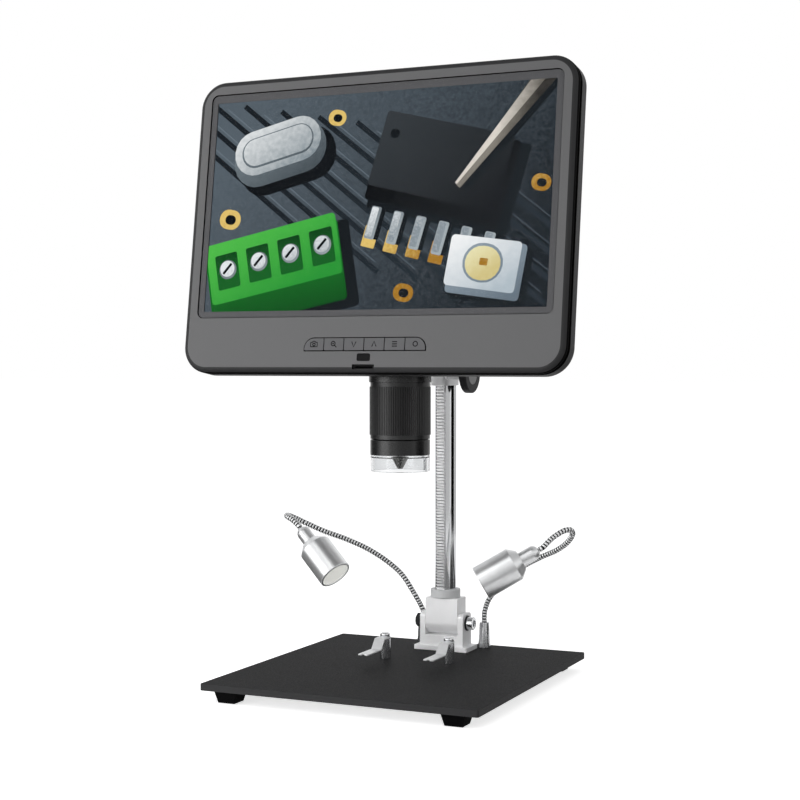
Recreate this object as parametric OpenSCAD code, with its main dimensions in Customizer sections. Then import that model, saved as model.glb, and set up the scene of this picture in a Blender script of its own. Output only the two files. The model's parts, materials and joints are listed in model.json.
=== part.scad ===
// Digital microscope with a 10.1 inch display on a rack-and-pinion pillar stand.
// Millimetres. +Z is up, +Y points away from the user, +X is the user's right.
// The origin lies on the table, under the middle of the base plate.

/* [Base] */
// Width of the base plate
base_w = 176; // [150:1:220]
// Depth of the base plate
base_d = 190; // [180:1:240]
// Thickness of the base plate
base_t = 4; // [3:0.5:6]
// Radius of the plate's corners
base_corner = 1.5; // [0.5:0.5:4]
// Height of a foot
foot_h = 7; // [5:0.5:12]
// Side of a foot where it meets the plate
foot_top = 14.5; // [12:0.5:18]
// Side of a foot where it meets the table
foot_bottom = 11; // [9:0.5:12]
// Gap from the plate's side edge to a foot
foot_inset_x = 8.75; // [4:0.25:12]
// Gap from the plate's front or rear edge to a foot
foot_inset_y = 1.75; // [1:0.25:6]

/* [Stage clips] */
// Distance between the two clip posts
clip_spacing = 44; // [40:1:60]
// Clip posts' place in front of or behind the middle of the plate
clip_y = 22.5; // [15:0.5:30]
// Diameter of a clip post
post_d = 7; // [6:0.5:8]
// Height of a clip post
post_h = 13.2; // [10:0.1:18]
// Width of a clip blade
blade_w = 7; // [6:0.5:8]
// Thickness of a clip blade
blade_t = 0.8; // [0.6:0.1:1]
// Length of a blade's flat end in front of its post
blade_flat = 8; // [7:0.5:10]
// Height that a blade drops from its post to its finger
blade_drop = 6; // [4:0.5:8]
// Length of deck that a blade crosses as it drops
blade_run = 5; // [4:0.5:8]
// Length of a blade's finger
finger_len = 20; // [14:1:26]

/* [Pillar bracket] */
// Distance from the middle of the plate back to the pillar
pillar_y = 70; // [66:1:74]
// Width of the bracket's foot flange
flange_w = 37.6; // [35:0.2:40]
// Depth of the bracket's foot flange
flange_d = 19; // [17:0.5:19]
// Thickness of the bracket's foot flange
flange_t = 3; // [2:0.5:4]
// Thickness of a bracket cheek
cheek_t = 3.8; // [3:0.2:5]
// Depth of the bracket cheeks and of the hinge block
cheek_d = 15; // [14.5:0.5:16]
// Height of a bracket cheek above the plate
cheek_h = 24.4; // [22:0.2:28]
// Width of the hinge block
block_w = 22.6; // [20:0.2:23]
// Height of the hinge bolt's axis above the plate
hinge_h = 17.9; // [17.5:0.1:19]
// Height of the hinge block above its bolt axis
block_rise = 16.5; // [14:0.5:22]
// Diameter of the hinge bolt
bolt_d = 5; // [4:0.5:5]

/* [Pillar] */
// Diameter of the pillar tube
pillar_d = 14; // [12:0.5:14.5]
// Wall of the pillar tube
pillar_wall = 1.5; // [1:0.25:2.5]
// Depth of the pillar's socket in the hinge block
socket_depth = 11; // [8:0.5:12]
// Length of the pillar tube above the hinge block
pillar_len = 255; // [245:1:300]
// Outside diameter of the collar at the pillar's foot
collar_d = 19.6; // [18:0.2:22]
// Height of the collar at the pillar's foot
collar_h = 5.6; // [4:0.2:8]
// Width of the rack
rack_w = 5.5; // [5:0.5:6]
// Depth of the rack bar from its tooth tips to its back
rack_depth = 5; // [4.5:0.25:6]
// How far the tooth tips stand in front of the tube
rack_proud = 3; // [2.5:0.25:3.5]
// Module of the rack and pinion
gear_module = 0.6; // [0.5:0.1:0.6]
// Number of teeth on the pinion
pinion_teeth = 16; // [14:1:16]

/* [Carriage] */
// Height of the carriage's lower end above the table
carriage_z = 185; // [170:1:195]
// Length of the carriage along the pillar
carriage_len = 55; // [50:1:70]
// Half width of the carriage casting
carriage_r = 8.5; // [8.25:0.25:10]
// Height of the pinion's axis above the carriage's lower end
pinion_rise = 8.2; // [7.5:0.1:12]
// Diameter of the pinion shaft
shaft_d = 5; // [4:0.5:5]
// Diameter of a focus knob
knob_d = 26; // [20:0.5:30]
// Thickness of a focus knob
knob_t = 5; // [4:0.5:8]
// Distance from the middle plane to a knob's outer face
knob_reach = 24.9; // [23:0.1:32]
// Width of the mounting flange on the carriage's arm
arm_flange_w = 50; // [44:1:56]
// Height of the mounting flange on the carriage's arm
arm_flange_h = 36; // [32:1:40]
// Thickness of the mounting flange
arm_flange_t = 5; // [4:0.5:6]

/* [Display] */
// Width of the visible picture
picture_w = 222.7; // [214:0.1:230]
// Height of the visible picture
picture_h = 131.8; // [126:0.1:140]
// Width of the glass's border beside the picture
border_side = 3.85; // [3:0.05:5]
// Height of the glass's border above the picture
border_top = 5; // [3:0.1:6]
// Height of the glass's border below the picture
border_bottom = 3.8; // [3:0.1:6]
// Width of the bezel beside the glass
bezel_side = 8.8; // [7.5:0.1:12]
// Height of the bezel above the glass
bezel_top = 8.9; // [8.8:0.1:12]
// Height of the bezel below the glass
chin_h = 33.9; // [31:0.1:40]
// Radius of the head's corners
head_corner = 16.5; // [12:0.5:18]
// Angle that the screen leans back
lean = 8; // [4:0.5:12]
// Distance that the screen's middle lies in front of the plate's middle
screen_front = 42.3; // [41:0.1:46]
// Height of the display case's lower front edge above the carriage's lower end
head_rise = 8.8; // [8:0.1:12]
// Thickness of the cover glass
glass_t = 1.1; // [0.7:0.1:1.4]
// Depth of the glass below the bezel's face
glass_sunk = 0.7; // [0.3:0.1:1]
// Depth of the front bezel's rim
bezel_depth = 4.2; // [4:0.1:5]
// Width of the shadow gap between the bezel and the rear shell
seam_gap = 2.4; // [1.5:0.1:3]
// Depth of the whole display case
case_depth = 17; // [16:0.5:20]
// Wall of the display case
case_wall = 2.4; // [2:0.1:2.8]
// Thickness of the bezel's face
bezel_skin = 2.6; // [2.4:0.1:3]
// Radius of the case's front edge
front_edge = 2.6; // [2:0.1:3.5]
// Radius of the case's rear edge
rear_edge = 4; // [2:0.5:6]

/* [Buttons] */
// Distance from one button to the next
key_pitch = 13.15; // [11:0.05:14]
// Height of a button
key_h = 7.2; // [6:0.1:8]
// Height of the buttons' middle above the case's lower edge
key_rise = 17; // [17:0.1:19]
// Gap around a button
key_gap = 0.5; // [0.25:0.05:0.6]
// How far a button stands out of the bezel
key_proud = 0.4; // [0.2:0.1:0.8]
// How far a button travels
key_travel = 0.6; // [0.3:0.1:0.8]

/* [Camera barrel] */
// Distance from the plate's middle forward to the optical axis
lens_front = 3; // [0:0.5:4]
// Height of the barrel's upper end above the carriage's lower end
barrel_rise = 6.6; // [6:0.1:8]
// Height of the fixed neck
neck_h = 3.9; // [3:0.1:5]
// Diameter of the fixed neck
neck_d = 38.4; // [37:0.1:40]
// Height of the ribbed focus ring
ring_h = 34.6; // [28:0.1:36]
// Diameter over the focus ring's ribs
ring_d = 37.8; // [36:0.1:38]
// Number of ribs on the focus ring
rib_count = 84; // [60:2:90]
// Depth of the grooves between the ribs
rib_depth = 0.5; // [0.3:0.1:0.7]
// Height of the smooth lower ring
lower_h = 9.2; // [8:0.1:11]
// Diameter of the smooth lower ring
lower_d = 36.9; // [36:0.1:37.4]
// Height of the clear cap below the lower ring
cap_h = 10.2; // [9:0.1:12]
// Diameter of the clear cap
cap_d = 36.5; // [35:0.1:36.6]
// Wall of the clear cap
cap_wall = 1.5; // [1.2:0.1:1.8]
// Outside diameter of the fixed inner tube
tube_d = 31; // [30:0.5:32]
// Wall of the fixed inner tube
tube_wall = 2.4; // [2:0.1:2.8]
// Width of the camera housing behind the display
housing_w = 68; // [64:1:80]
// Distance from the plate's middle back to the housing's rear face
housing_back = 20.5; // [20:0.5:24]

/* [Lamps] */
// Distance between the two lamp sockets
socket_spacing = 44; // [43:1:60]
// Distance from the pillar back to the sockets
socket_back = 14; // [14:0.5:16]
// Height of a lamp socket
socket_h = 17; // [14:0.5:20]
// Diameter of a lamp socket at its foot
socket_foot_d = 8.5; // [7.5:0.5:9]
// Diameter of a lamp socket at its top
socket_top_d = 6.4; // [5.5:0.1:7]
// Diameter of a gooseneck
gooseneck_d = 3.6; // [3.2:0.1:4]
// Diameter of a lamp head
lamp_d = 21.6; // [18:0.2:24]
// Length of a lamp head's straight body
lamp_len = 24; // [20:0.5:28]
// Length of the cone behind a lamp head's body
lamp_cone = 5; // [3:0.5:7]
// Depth of the reflector in a lamp head
lamp_depth = 12; // [8:0.5:14]
// Wall of a lamp head at its rim
lamp_wall = 1.4; // [1:0.1:1.8]
// Diameter of a lamp head's neck
lamp_neck_d = 9.4; // [8.8:0.2:10]
// Length of a lamp head's neck to the middle of its round end
lamp_neck_len = 8; // [6:0.5:12]

/* [Hidden] */
$fn = 64;

// Clearances, all per side
run_gap = 0.05;    // a shaft, ring or blade that turns or slides in its seat
fixed_gap = 0.02;  // a screw in its thread, or a spigot in its seat
drop_gap = 0.15;   // a part dropped into a pocket, or a screw through a plain hole
over = 1;          // how far a cutting shape runs past the face that it cuts

// Colours
black = "#2c2c2d";
case_grey = "#5e5e5f";
silver = "#cfd1d3";
chrome = "#dcdee0";

// ---- Shapes that repeat ----

function unit(v) = v / norm(v);
function arc(centre, r, a0, a1, n) =
    [for (i = [0 : n]) let(a = a0 + (a1 - a0) * i / n) centre + r * [cos(a), sin(a)]];
// Arc that rounds the corner p between its neighbours a and b
function corner_arc(a, p, b, r, n) =
    let(u = unit(a - p), v = unit(b - p), half = acos(u * v) / 2, w = 180 - 2 * half,
        c = p + unit(u + v) * r / sin(half), s = p + u * r / tan(half) - c, e = p + v * r / tan(half) - c)
    [for (i = [0 : n]) c + (sin(w * (1 - i / n)) * s + sin(w * i / n) * e) / sin(w)];
// Outline with its corners rounded; radii is one number, or one for each corner
function rounded(points, radii, n = 6) =
    [for (i = [0 : len(points) - 1])
        let(r = is_list(radii) ? radii[i] : radii, k = len(points))
        each r > 0 ? corner_arc(points[(i + k - 1) % k], points[i], points[(i + 1) % k], r, n)
                   : [points[i]]];
// Convex outline moved inwards by a wall
function inset(points, wall) =
    [for (i = [0 : len(points) - 1])
        let(k = len(points), p = points[i], u = unit(points[(i + k - 1) % k] - p),
            v = unit(points[(i + 1) % k] - p))
        p + unit(u + v) * wall / sin(acos(u * v) / 2)];
function rect_points(w, h) = [[-w / 2, -h / 2], [w / 2, -h / 2], [w / 2, h / 2], [-w / 2, h / 2]];

module round_rect(w, h, r, n = 6) polygon(rounded(rect_points(w, h), r, n));
module along_x(w) rotate([90, 0, 90]) linear_extrude(w, center = true) children();
module rod_x(d, x0, x1) translate([x0, 0, 0]) rotate([0, 90, 0]) cylinder(d = d, h = x1 - x0);
module both_sides() {
    children();
    mirror([1, 0, 0]) children();
}
module box(low, high) translate(low) cube(high - low);
// Screw whose head sits on z = 0 and whose shank points down, with a hexagon socket
module screw(d, length, head_d, head_h) {
    translate([0, 0, -length]) cylinder(d = d, h = length);
    difference() {
        cylinder(d = head_d, h = head_h);
        translate([0, 0, head_h * 0.4]) cylinder(d = d * 0.9, h = head_h, $fn = 6);
    }
}

// ---- Base plate, feet and their screws ----

deck = foot_h + base_t;
foot_screw_d = 3;
foot_head_d = 5.6;
foot_head_h = 2;
foot_seat = 3;
foot_screw_skin = 0.6;
foot_screw_len = deck - foot_seat - foot_screw_skin;
bracket_screw_d = 4;
bracket_screw_len = 12;
bracket_head_d = 7;
bracket_head_h = 2.4;
bracket_screw_x = 11;
bracket_screw_y = 4;
stud_d = 4;
socket_y = pillar_y + socket_back;

module at_feet()
    for (x = [-1, 1], y = [-1, 1])
        translate([x * (base_w / 2 - foot_inset_x - foot_top / 2),
                   y * (base_d / 2 - foot_inset_y - foot_top / 2), 0])
            children();

module at_bracket_screws()
    for (x = [-1, 1], y = [-1, 1])
        translate([x * bracket_screw_x, pillar_y + y * bracket_screw_y, 0]) children();

module at_clips() for (x = [-1, 1]) translate([x * clip_spacing / 2, clip_y, 0]) children();
module at_sockets() for (x = [-1, 1]) translate([x * socket_spacing / 2, socket_y, 0]) children();

module base_plate() color("#343434") difference() {
    translate([0, 0, foot_h]) linear_extrude(base_t) round_rect(base_w, base_d, base_corner);
    at_feet() translate([0, 0, foot_h - over])
        cylinder(d = foot_screw_d + 2 * fixed_gap, h = over + base_t - foot_screw_skin + drop_gap);
    at_bracket_screws() cylinder(d = bracket_screw_d + 2 * drop_gap, h = deck + over);
    at_clips() cylinder(d = stud_d + 2 * fixed_gap, h = deck + over);
    at_sockets() cylinder(d = stud_d + 2 * fixed_gap, h = deck + over);
}

module foot() {
    side = [[-foot_bottom / 2, 0], [foot_bottom / 2, 0], [foot_top / 2, foot_h], [-foot_top / 2, foot_h]];
    difference() {
        intersection() {
            along_x(foot_top) polygon(side);
            rotate([0, 0, 90]) along_x(foot_top) polygon(side);
        }
        translate([0, 0, -over]) cylinder(d = foot_screw_d + 2 * drop_gap, h = foot_h + 2 * over);
        translate([0, 0, -over]) cylinder(d = foot_head_d + 4 * drop_gap, h = foot_seat + over);
    }
}

module feet() color("#0c0c0c") at_feet() foot();

module base_screws() color("#8c8e90") {
    at_feet() translate([0, 0, foot_seat]) rotate([180, 0, 0])
        screw(foot_screw_d, foot_screw_len, foot_head_d, foot_head_h);
    at_bracket_screws() translate([0, 0, foot_h]) rotate([180, 0, 0])
        screw(bracket_screw_d, bracket_screw_len, bracket_head_d, bracket_head_h);
}

// ---- Stage clips ----

post_top = deck + post_h;
pivot_d = 3;
clip_nut_d = 6.4;
clip_nut_h = 2.6;
clip_stud_len = 1.8;
notch_w = 2;
notch_depth = 2;
tip_corner = 0.8;
blade_y = clip_y - blade_flat - blade_run - finger_len;
blade_seat = post_top + run_gap;

module clip_posts() color(chrome) at_clips() {
    translate([0, 0, deck]) cylinder(d = post_d, h = post_h);
    translate([0, 0, foot_h]) cylinder(d = stud_d, h = base_t);
    translate([0, 0, post_top]) cylinder(d = pivot_d, h = clip_stud_len);
}

module clip_nuts() color(chrome) at_clips() translate([0, 0, blade_seat + blade_t + run_gap])
    difference() {
        rotate_extrude() polygon(rounded([[0, 0], [clip_nut_d / 2, 0], [clip_nut_d / 2, clip_nut_h],
            [0, clip_nut_h]], [0, 0, clip_nut_h / 2, 0]));
        translate([0, 0, -over]) cylinder(d = pivot_d + 2 * fixed_gap, h = over + clip_stud_len - blade_t);
    }

// Bent spring-steel blade, seen from the side as a strip and from above as a notched tongue
module clip_blade(x) {
    bend = blade_t * tan(atan(blade_drop / blade_run) / 2);
    heel = clip_y + blade_w / 2;
    drop_y = clip_y - blade_flat;
    finger_y = drop_y - blade_run;
    low = blade_seat - blade_drop;
    tip = blade_y;
    half = blade_w / 2;
    translate([x, 0, 0]) difference() {
        intersection() {
            along_x(blade_w + 2 * over)
                polygon([[heel, blade_seat], [heel, blade_seat + blade_t],
                    [drop_y - bend, blade_seat + blade_t], [finger_y - bend, low + blade_t],
                    [tip, low + blade_t], [tip, low], [finger_y, low], [drop_y, blade_seat]]);
            linear_extrude(blade_seat + 2 * over)
                polygon(rounded([[-half, tip], [-notch_w / 2, tip], [-notch_w / 2, tip + notch_depth],
                    [notch_w / 2, tip + notch_depth], [notch_w / 2, tip], [half, tip],
                    [half, heel], [-half, heel]],
                    [tip_corner, 0, 0, 0, 0, tip_corner, half * 0.95, half * 0.95]));
        }
        translate([0, clip_y, blade_seat - over]) cylinder(d = pivot_d + 2 * run_gap, h = blade_t + 2 * over);
    }
}

module clip_blade_left() color(chrome) clip_blade(-clip_spacing / 2);
module clip_blade_right() color(chrome) clip_blade(clip_spacing / 2);

// ---- Pillar bracket and hinge ----

hinge_z = deck + hinge_h;
block_top = hinge_z + block_rise;
block_gap = 0.1;
web_gap = 0.5;
web_h = hinge_h - cheek_d / 2 - flange_t - web_gap;
flange_corner = 1;
cheek_corner = 3;
block_edge = 1;
cheek_inner = block_w / 2 + block_gap;
cheek_outer = cheek_inner + cheek_t;
washer_d = 10;
washer_t = 0.8;
bolt_head_d = 8.5;
bolt_head_h = 4.2;
nut_af = 8;
nut_h = 4;
bolt_tail = 1;

module at_hinge() translate([0, pillar_y, hinge_z]) children();

module pillar_bracket() color(silver) difference() {
    union() {
        translate([0, pillar_y, deck]) linear_extrude(flange_t) round_rect(flange_w, flange_d, flange_corner);
        box([-cheek_outer, pillar_y - cheek_d / 2, deck + flange_t],
            [cheek_outer, pillar_y + cheek_d / 2, deck + flange_t + web_h]);
        both_sides() translate([cheek_inner + cheek_t / 2, pillar_y, deck + flange_t]) along_x(cheek_t)
            polygon(rounded([[-cheek_d / 2, 0], [cheek_d / 2, 0], [cheek_d / 2, cheek_h - flange_t],
                [-cheek_d / 2, cheek_h - flange_t]], [0, 0, cheek_corner, cheek_corner]));
    }
    at_hinge() rod_x(bolt_d + 2 * run_gap, -cheek_outer - over, cheek_outer + over);
    at_bracket_screws() translate([0, 0, deck - over])
        cylinder(d = bracket_screw_d + 2 * fixed_gap, h = over + bracket_screw_len - base_t + drop_gap);
}

module hinge_block() color(silver) difference() {
    at_hinge() along_x(block_w)
        polygon(concat(arc([0, 0], cheek_d / 2, 180, 360, 16),
            rounded([[cheek_d / 2, block_edge], [cheek_d / 2, block_rise], [-cheek_d / 2, block_rise],
                [-cheek_d / 2, block_edge]], [0, block_edge, block_edge, 0])));
    at_hinge() rod_x(bolt_d + 2 * run_gap, -block_w, block_w);
    translate([0, pillar_y, block_top - socket_depth])
        cylinder(d = pillar_d + 2 * fixed_gap, h = socket_depth + over);
}

module hinge_bolt() color("#3c3c3e") at_hinge() {
    seat = cheek_outer + washer_t;
    translate([seat, 0, 0]) rotate([0, 90, 0])
        screw(bolt_d, 2 * seat + nut_h + bolt_tail, bolt_head_d, bolt_head_h);
}

module hinge_nut_washers() color("#3c3c3e") at_hinge() difference() {
    union() {
        both_sides() rod_x(washer_d, cheek_outer, cheek_outer + washer_t);
        rotate([0, -90, 0]) translate([0, 0, cheek_outer + washer_t])
            cylinder(d = nut_af / cos(30), h = nut_h, $fn = 6);
    }
    rod_x(bolt_d + 2 * fixed_gap, -cheek_outer - washer_t - nut_h - over, cheek_outer + washer_t + over);
}

// ---- Pillar with its rack ----

pillar_top = block_top + pillar_len;
tube_bore = pillar_d - 2 * pillar_wall;
rack_foot_gap = 0.2;
rack_head_gap = 8;
rack_low = block_top + collar_h + rack_foot_gap;
rack_high = pillar_top - rack_head_gap;
rack_front = pillar_y - pillar_d / 2 - rack_proud;
tooth_pitch = PI * gear_module;
gear_depth = 2.25 * gear_module;
pressure = 20;
backlash = 0.04;
pitch_r = gear_module * pinion_teeth / 2;
pinion_y = rack_front + gear_module - pitch_r;
pinion_z = carriage_z + pinion_rise;
cap_plug = 5;
cap_top = 3;

module at_pillar(z) translate([0, pillar_y, z]) children();

module pillar_tube() color(chrome) difference() {
    at_pillar(block_top - socket_depth) cylinder(d = pillar_d, h = pillar_len + socket_depth);
    at_pillar(block_top - socket_depth - over)
        cylinder(d = tube_bore, h = pillar_len + socket_depth + 2 * over);
    box([-rack_w / 2 - fixed_gap, pillar_y - pillar_d, rack_low],
        [rack_w / 2 + fixed_gap, pillar_y - pillar_d / 2 + 2 * pillar_wall, rack_high]);
}

module pillar_collar() color("#9a9b9c") at_pillar(block_top) difference() {
    cylinder(d = collar_d, h = collar_h);
    translate([0, 0, -over]) cylinder(d = pillar_d + 2 * fixed_gap, h = collar_h + 2 * over);
}

module pillar_cap() color(black) at_pillar(pillar_top) {
    cylinder(d = pillar_d, h = cap_top);
    translate([0, 0, -cap_plug]) cylinder(d = tube_bore - 2 * fixed_gap, h = cap_plug);
}

// One tooth of the rack, from its upper root to its lower root; y grows into the pillar
function rack_tooth(z) =
    let(mid = tooth_pitch / 4 - backlash / 2, slope = tan(pressure),
        tip = mid - gear_module * slope, root = mid + (gear_depth - gear_module) * slope)
    [[rack_front + gear_depth, z + root], [rack_front, z + tip],
     [rack_front, z - tip], [rack_front + gear_depth, z - root]];

// A gap between two teeth lies level with the pinion's axis, so the gears mesh at rest
module rack() color("#b9bbbd") {
    first = ceil((rack_low - pinion_z) / tooth_pitch);
    last = floor((rack_high - pinion_z) / tooth_pitch) - 1;
    back = rack_front + rack_depth;
    along_x(rack_w)
        polygon(concat([[back, rack_low], [back, rack_high], [rack_front + gear_depth, rack_high]],
            [for (i = [last : -1 : first]) each rack_tooth(pinion_z + (i + 0.5) * tooth_pitch)],
            [[rack_front + gear_depth, rack_low]]));
}

// ---- Carriage, pinion and focus knobs ----

bush_d = 11;
bush_nose_d = 9;
pinion_face = 6.5;
pinion_play = 0.35;
bush_inner = pinion_face / 2 + pinion_play;
knob_inner = knob_reach - knob_t;
knob_play = 0.2;
knob_edge = 0.8;
knob_cap_d = 15;
knob_cap_t = 1;
arm_rise = 30;
arm_w = 16;
arm_h = arm_flange_h - 2;
arm_z = carriage_z + arm_rise;
arm_flange_corner = 3;
flange_y = housing_back;
arm_screw_margin = 6;
arm_screw_x = arm_flange_w / 2 - arm_screw_margin;
arm_screw_z = arm_flange_h / 2 - arm_screw_margin;
arm_screw_d = 4;
arm_screw_tail = 1.5;
arm_head_d = 7;
arm_head_h = 2.8;
tension_head_d = 8;
tension_head_h = 4.5;
plate_t = 2;
boss_d = 10;
boss_len = 5.5;
column_back = pillar_y + carriage_r;

module at_pinion() translate([0, pinion_y, pinion_z]) children();
module at_arm_screws()
    for (x = [-1, 1], z = [-1, 1]) translate([x * arm_screw_x, 0, arm_z + z * arm_screw_z]) children();
module rod_y(d, y0, y1) translate([0, y1, 0]) rotate([90, 0, 0]) cylinder(d = d, h = y1 - y0);

module carriage() color(silver) difference() {
    union() {
        translate([0, 0, carriage_z]) linear_extrude(carriage_len)
            polygon(concat(arc([0, pillar_y], carriage_r, 0, 180, 24),
                arc([0, pinion_y], carriage_r, 180, 360, 24)));
        box([-arm_w / 2, flange_y, arm_z - arm_h / 2], [arm_w / 2, pinion_y, arm_z + arm_h / 2]);
        translate([0, flange_y + arm_flange_t, arm_z]) rotate([90, 0, 0])
            linear_extrude(arm_flange_t) round_rect(arm_flange_w, arm_flange_h, arm_flange_corner);
        translate([0, 0, arm_z]) rod_y(boss_d, pillar_y + pillar_d / 2, column_back + boss_len);
    }
    at_pillar(carriage_z - over) cylinder(d = pillar_d + 2 * run_gap, h = carriage_len + 2 * over);
    box([-rack_w / 2 - run_gap, rack_front - run_gap, carriage_z - over],
        [rack_w / 2 + run_gap, pillar_y, carriage_z + carriage_len + over]);
    at_pinion() rod_x(bush_d + 2 * fixed_gap, -carriage_r - over, carriage_r + over);
    translate([0, 0, arm_z]) rod_y(arm_screw_d + 2 * fixed_gap, pillar_y, column_back + boss_len + over);
    at_arm_screws() rod_y(arm_screw_d + 2 * drop_gap, flange_y - over, flange_y + arm_flange_t + over);
}

module tension_screw() color(black) translate([0, column_back + boss_len, arm_z]) rotate([-90, 0, 0])
    screw(arm_screw_d, boss_len + carriage_r - pillar_d / 2 - 2 * run_gap, tension_head_d, tension_head_h);

module arm_screws() color("#8c8e90") at_arm_screws()
    translate([0, flange_y + arm_flange_t, 0]) rotate([-90, 0, 0])
        screw(arm_screw_d, arm_flange_t + case_wall + plate_t + arm_screw_tail, arm_head_d, arm_head_h);

// Flank of a pinion tooth: half its angle at radius r
function involute(a) = tan(a) * 180 / PI - a;
function half_tooth(r) =
    let(base_r = pitch_r * cos(pressure),
        mid = (tooth_pitch / 4 - backlash / 2) / pitch_r * 180 / PI)
    mid + involute(pressure) - involute(acos(min(1, base_r / r)));
function polar(r, a) = r * [cos(a), sin(a)];

module pinion_gear() {
    tip_r = pitch_r + gear_module;
    root_r = tip_r - gear_depth;
    base_r = pitch_r * cos(pressure);
    steps = 3;
    flank = [for (i = [0 : steps]) base_r + (tip_r - base_r) * i / steps];
    linear_extrude(pinion_face, center = true)
        polygon([for (t = [0 : pinion_teeth - 1]) let(a = 360 * t / pinion_teeth)
            each concat([polar(root_r, a - half_tooth(base_r))],
                [for (i = [0 : steps]) polar(flank[i], a - half_tooth(flank[i]))],
                [for (i = [steps : -1 : 0]) polar(flank[i], a + half_tooth(flank[i]))],
                [polar(root_r, a + half_tooth(base_r))])]);
}

module pinion_shaft() color("#b9bbbd") at_pinion() {
    rod_x(shaft_d, -knob_reach + knob_cap_t + run_gap, knob_reach - knob_cap_t - run_gap);
    rotate([90, 0, 90]) pinion_gear();
}

module pinion_bushes() color(silver) at_pinion() both_sides() difference() {
    union() {
        rod_x(bush_d, bush_inner, carriage_r);
        rod_x(bush_nose_d, carriage_r, knob_inner - knob_play);
    }
    rod_x(shaft_d + 2 * run_gap, 0, knob_inner);
}

module focus_knob() difference() {
    translate([knob_inner, 0, 0]) rotate([90, 0, 90])
        rotate_extrude() polygon(rounded([[0, 0], [knob_d / 2, 0], [knob_d / 2, knob_t], [0, knob_t]],
            [0, knob_edge, knob_edge, 0], 3));
    rod_x(shaft_d + 2 * fixed_gap, 0, knob_reach + over);
    rod_x(knob_cap_d + 2 * fixed_gap, knob_reach - knob_cap_t, knob_reach + over);
}

module focus_knob_left() color(black) at_pinion() mirror([1, 0, 0]) focus_knob();
module focus_knob_right() color(black) at_pinion() focus_knob();
module knob_caps() color("#777777") at_pinion() both_sides()
    rod_x(knob_cap_d, knob_reach - knob_cap_t, knob_reach);

// ---- Display head: everything here is drawn with the screen's middle as its origin,
// x across, y up the screen and z out of it, and then leans back with the head ----

glass_w = picture_w + 2 * border_side;
glass_h = picture_h + border_top + border_bottom;
glass_up = (border_top - border_bottom) / 2;
head_w = glass_w + 2 * bezel_side;
head_h = glass_h + bezel_top + chin_h;
head_top = picture_h / 2 + border_top + bezel_top;
head_foot = head_top - head_h;
head_mid = head_top - head_h / 2;
screen_z = carriage_z + head_rise - head_foot * cos(lean);
rear_depth = case_depth - bezel_depth - seam_gap;
glass_seat = glass_sunk + glass_t;
glass_corner = 4;
view_margin = 0.9;
seam_inset = 1.45;
lip_t = 1.2;
lip_root = 1;
root = 0.5;
boss_r = 2.5;
boss_joint = 7;
shell_screw_d = 2.5;
shell_head_d = 4.4;
shell_head_h = 1.6;
shell_seat = case_depth - 2;
screw_hole_end = bezel_skin + 1;
shell_screw_len = shell_seat - screw_hole_end - 0.4;
boss_top_x = head_w / 2 - 24;
boss_top_y = head_top - 5.2;
boss_side_x = head_w / 2 - 12;
boss_side_y = head_foot + 8.6;
boss_foot_x = 45;
boss_foot_y = head_foot + 5.6;
boss_spots = [[-boss_top_x, boss_top_y], [0, boss_top_y], [boss_top_x, boss_top_y],
    [-boss_side_x, boss_side_y], [boss_side_x, boss_side_y],
    [-boss_foot_x, boss_foot_y], [boss_foot_x, boss_foot_y]];

module head_frame() translate([0, -screen_front, screen_z]) rotate([90 - lean, 0, 0]) children();
// Point of the head's middle plane in the stand's Y and Z
function head_yz(y, z) = [-screen_front + y * sin(lean) - z * cos(lean),
    screen_z + y * cos(lean) + z * sin(lean)];

module case_outline(wall) translate([0, head_mid])
    round_rect(head_w - 2 * wall, head_h - 2 * wall, head_corner - wall, 10);

// Slab of the case's outline whose far face, at z = h, has a round edge
module soft_slab(h, edge) hull()
    for (x = [-1, 1], y = [-1, 1])
        translate([x * (head_w / 2 - head_corner), head_mid + y * (head_h / 2 - head_corner), 0])
            rotate_extrude($fn = 48)
                polygon(rounded([[0, 0], [head_corner, 0], [head_corner, h], [0, h]], [0, 0, edge, 0]));

module at_bosses() for (p = boss_spots) translate([p[0], p[1], 0]) children();

key_count = 6;
key_y = head_foot + key_rise;
key_w = key_pitch - key_gap;
key_edge = 0.5;
key_corner = key_h - 2 * key_edge;
key_flange = 1.2;
key_flange_t = 1;
key_stem = 1.4;
key_stem_d = 3;
key_row_w = key_count * key_pitch - key_gap;
switch_w = 6;
switch_body = 1.2;
switch_h = 1.9;
switch_d = 3.4;
switch_top = bezel_skin + run_gap + key_flange_t + key_stem;
board_z = switch_top + switch_h;
board_t = 1.2;
key_board_h = 12;
key_board_end = 4;
key_post_x = key_row_w / 2 + 5;
window_w = 8.4;
window_h = 4.3;
window_lip = 0.6;
window_lip_t = 1;
window_sunk = 0.2;
window_corner = 0.8;
window_y = key_y - key_h / 2 - key_flange - drop_gap - window_lip - window_h / 2;
card_w = 14.1;
card_h = 2.9;
card_y = head_foot + 3.55;
card_sunk = 1;
card_front = bezel_skin + window_lip_t + drop_gap;
post_r = 2.25;
pin_r = 1.1;
pin_len = board_t + 0.6;

function key_x(i) = (i - (key_count + 1) / 2) * key_pitch;
// Corner radii of the row of buttons, or of button i in it
function row_corners(i, gap) = [key_edge, key_edge, i == key_count || i == 0 ? key_corner + gap : key_edge,
    i == 1 || i == 0 ? key_corner + gap : key_edge];

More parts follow.
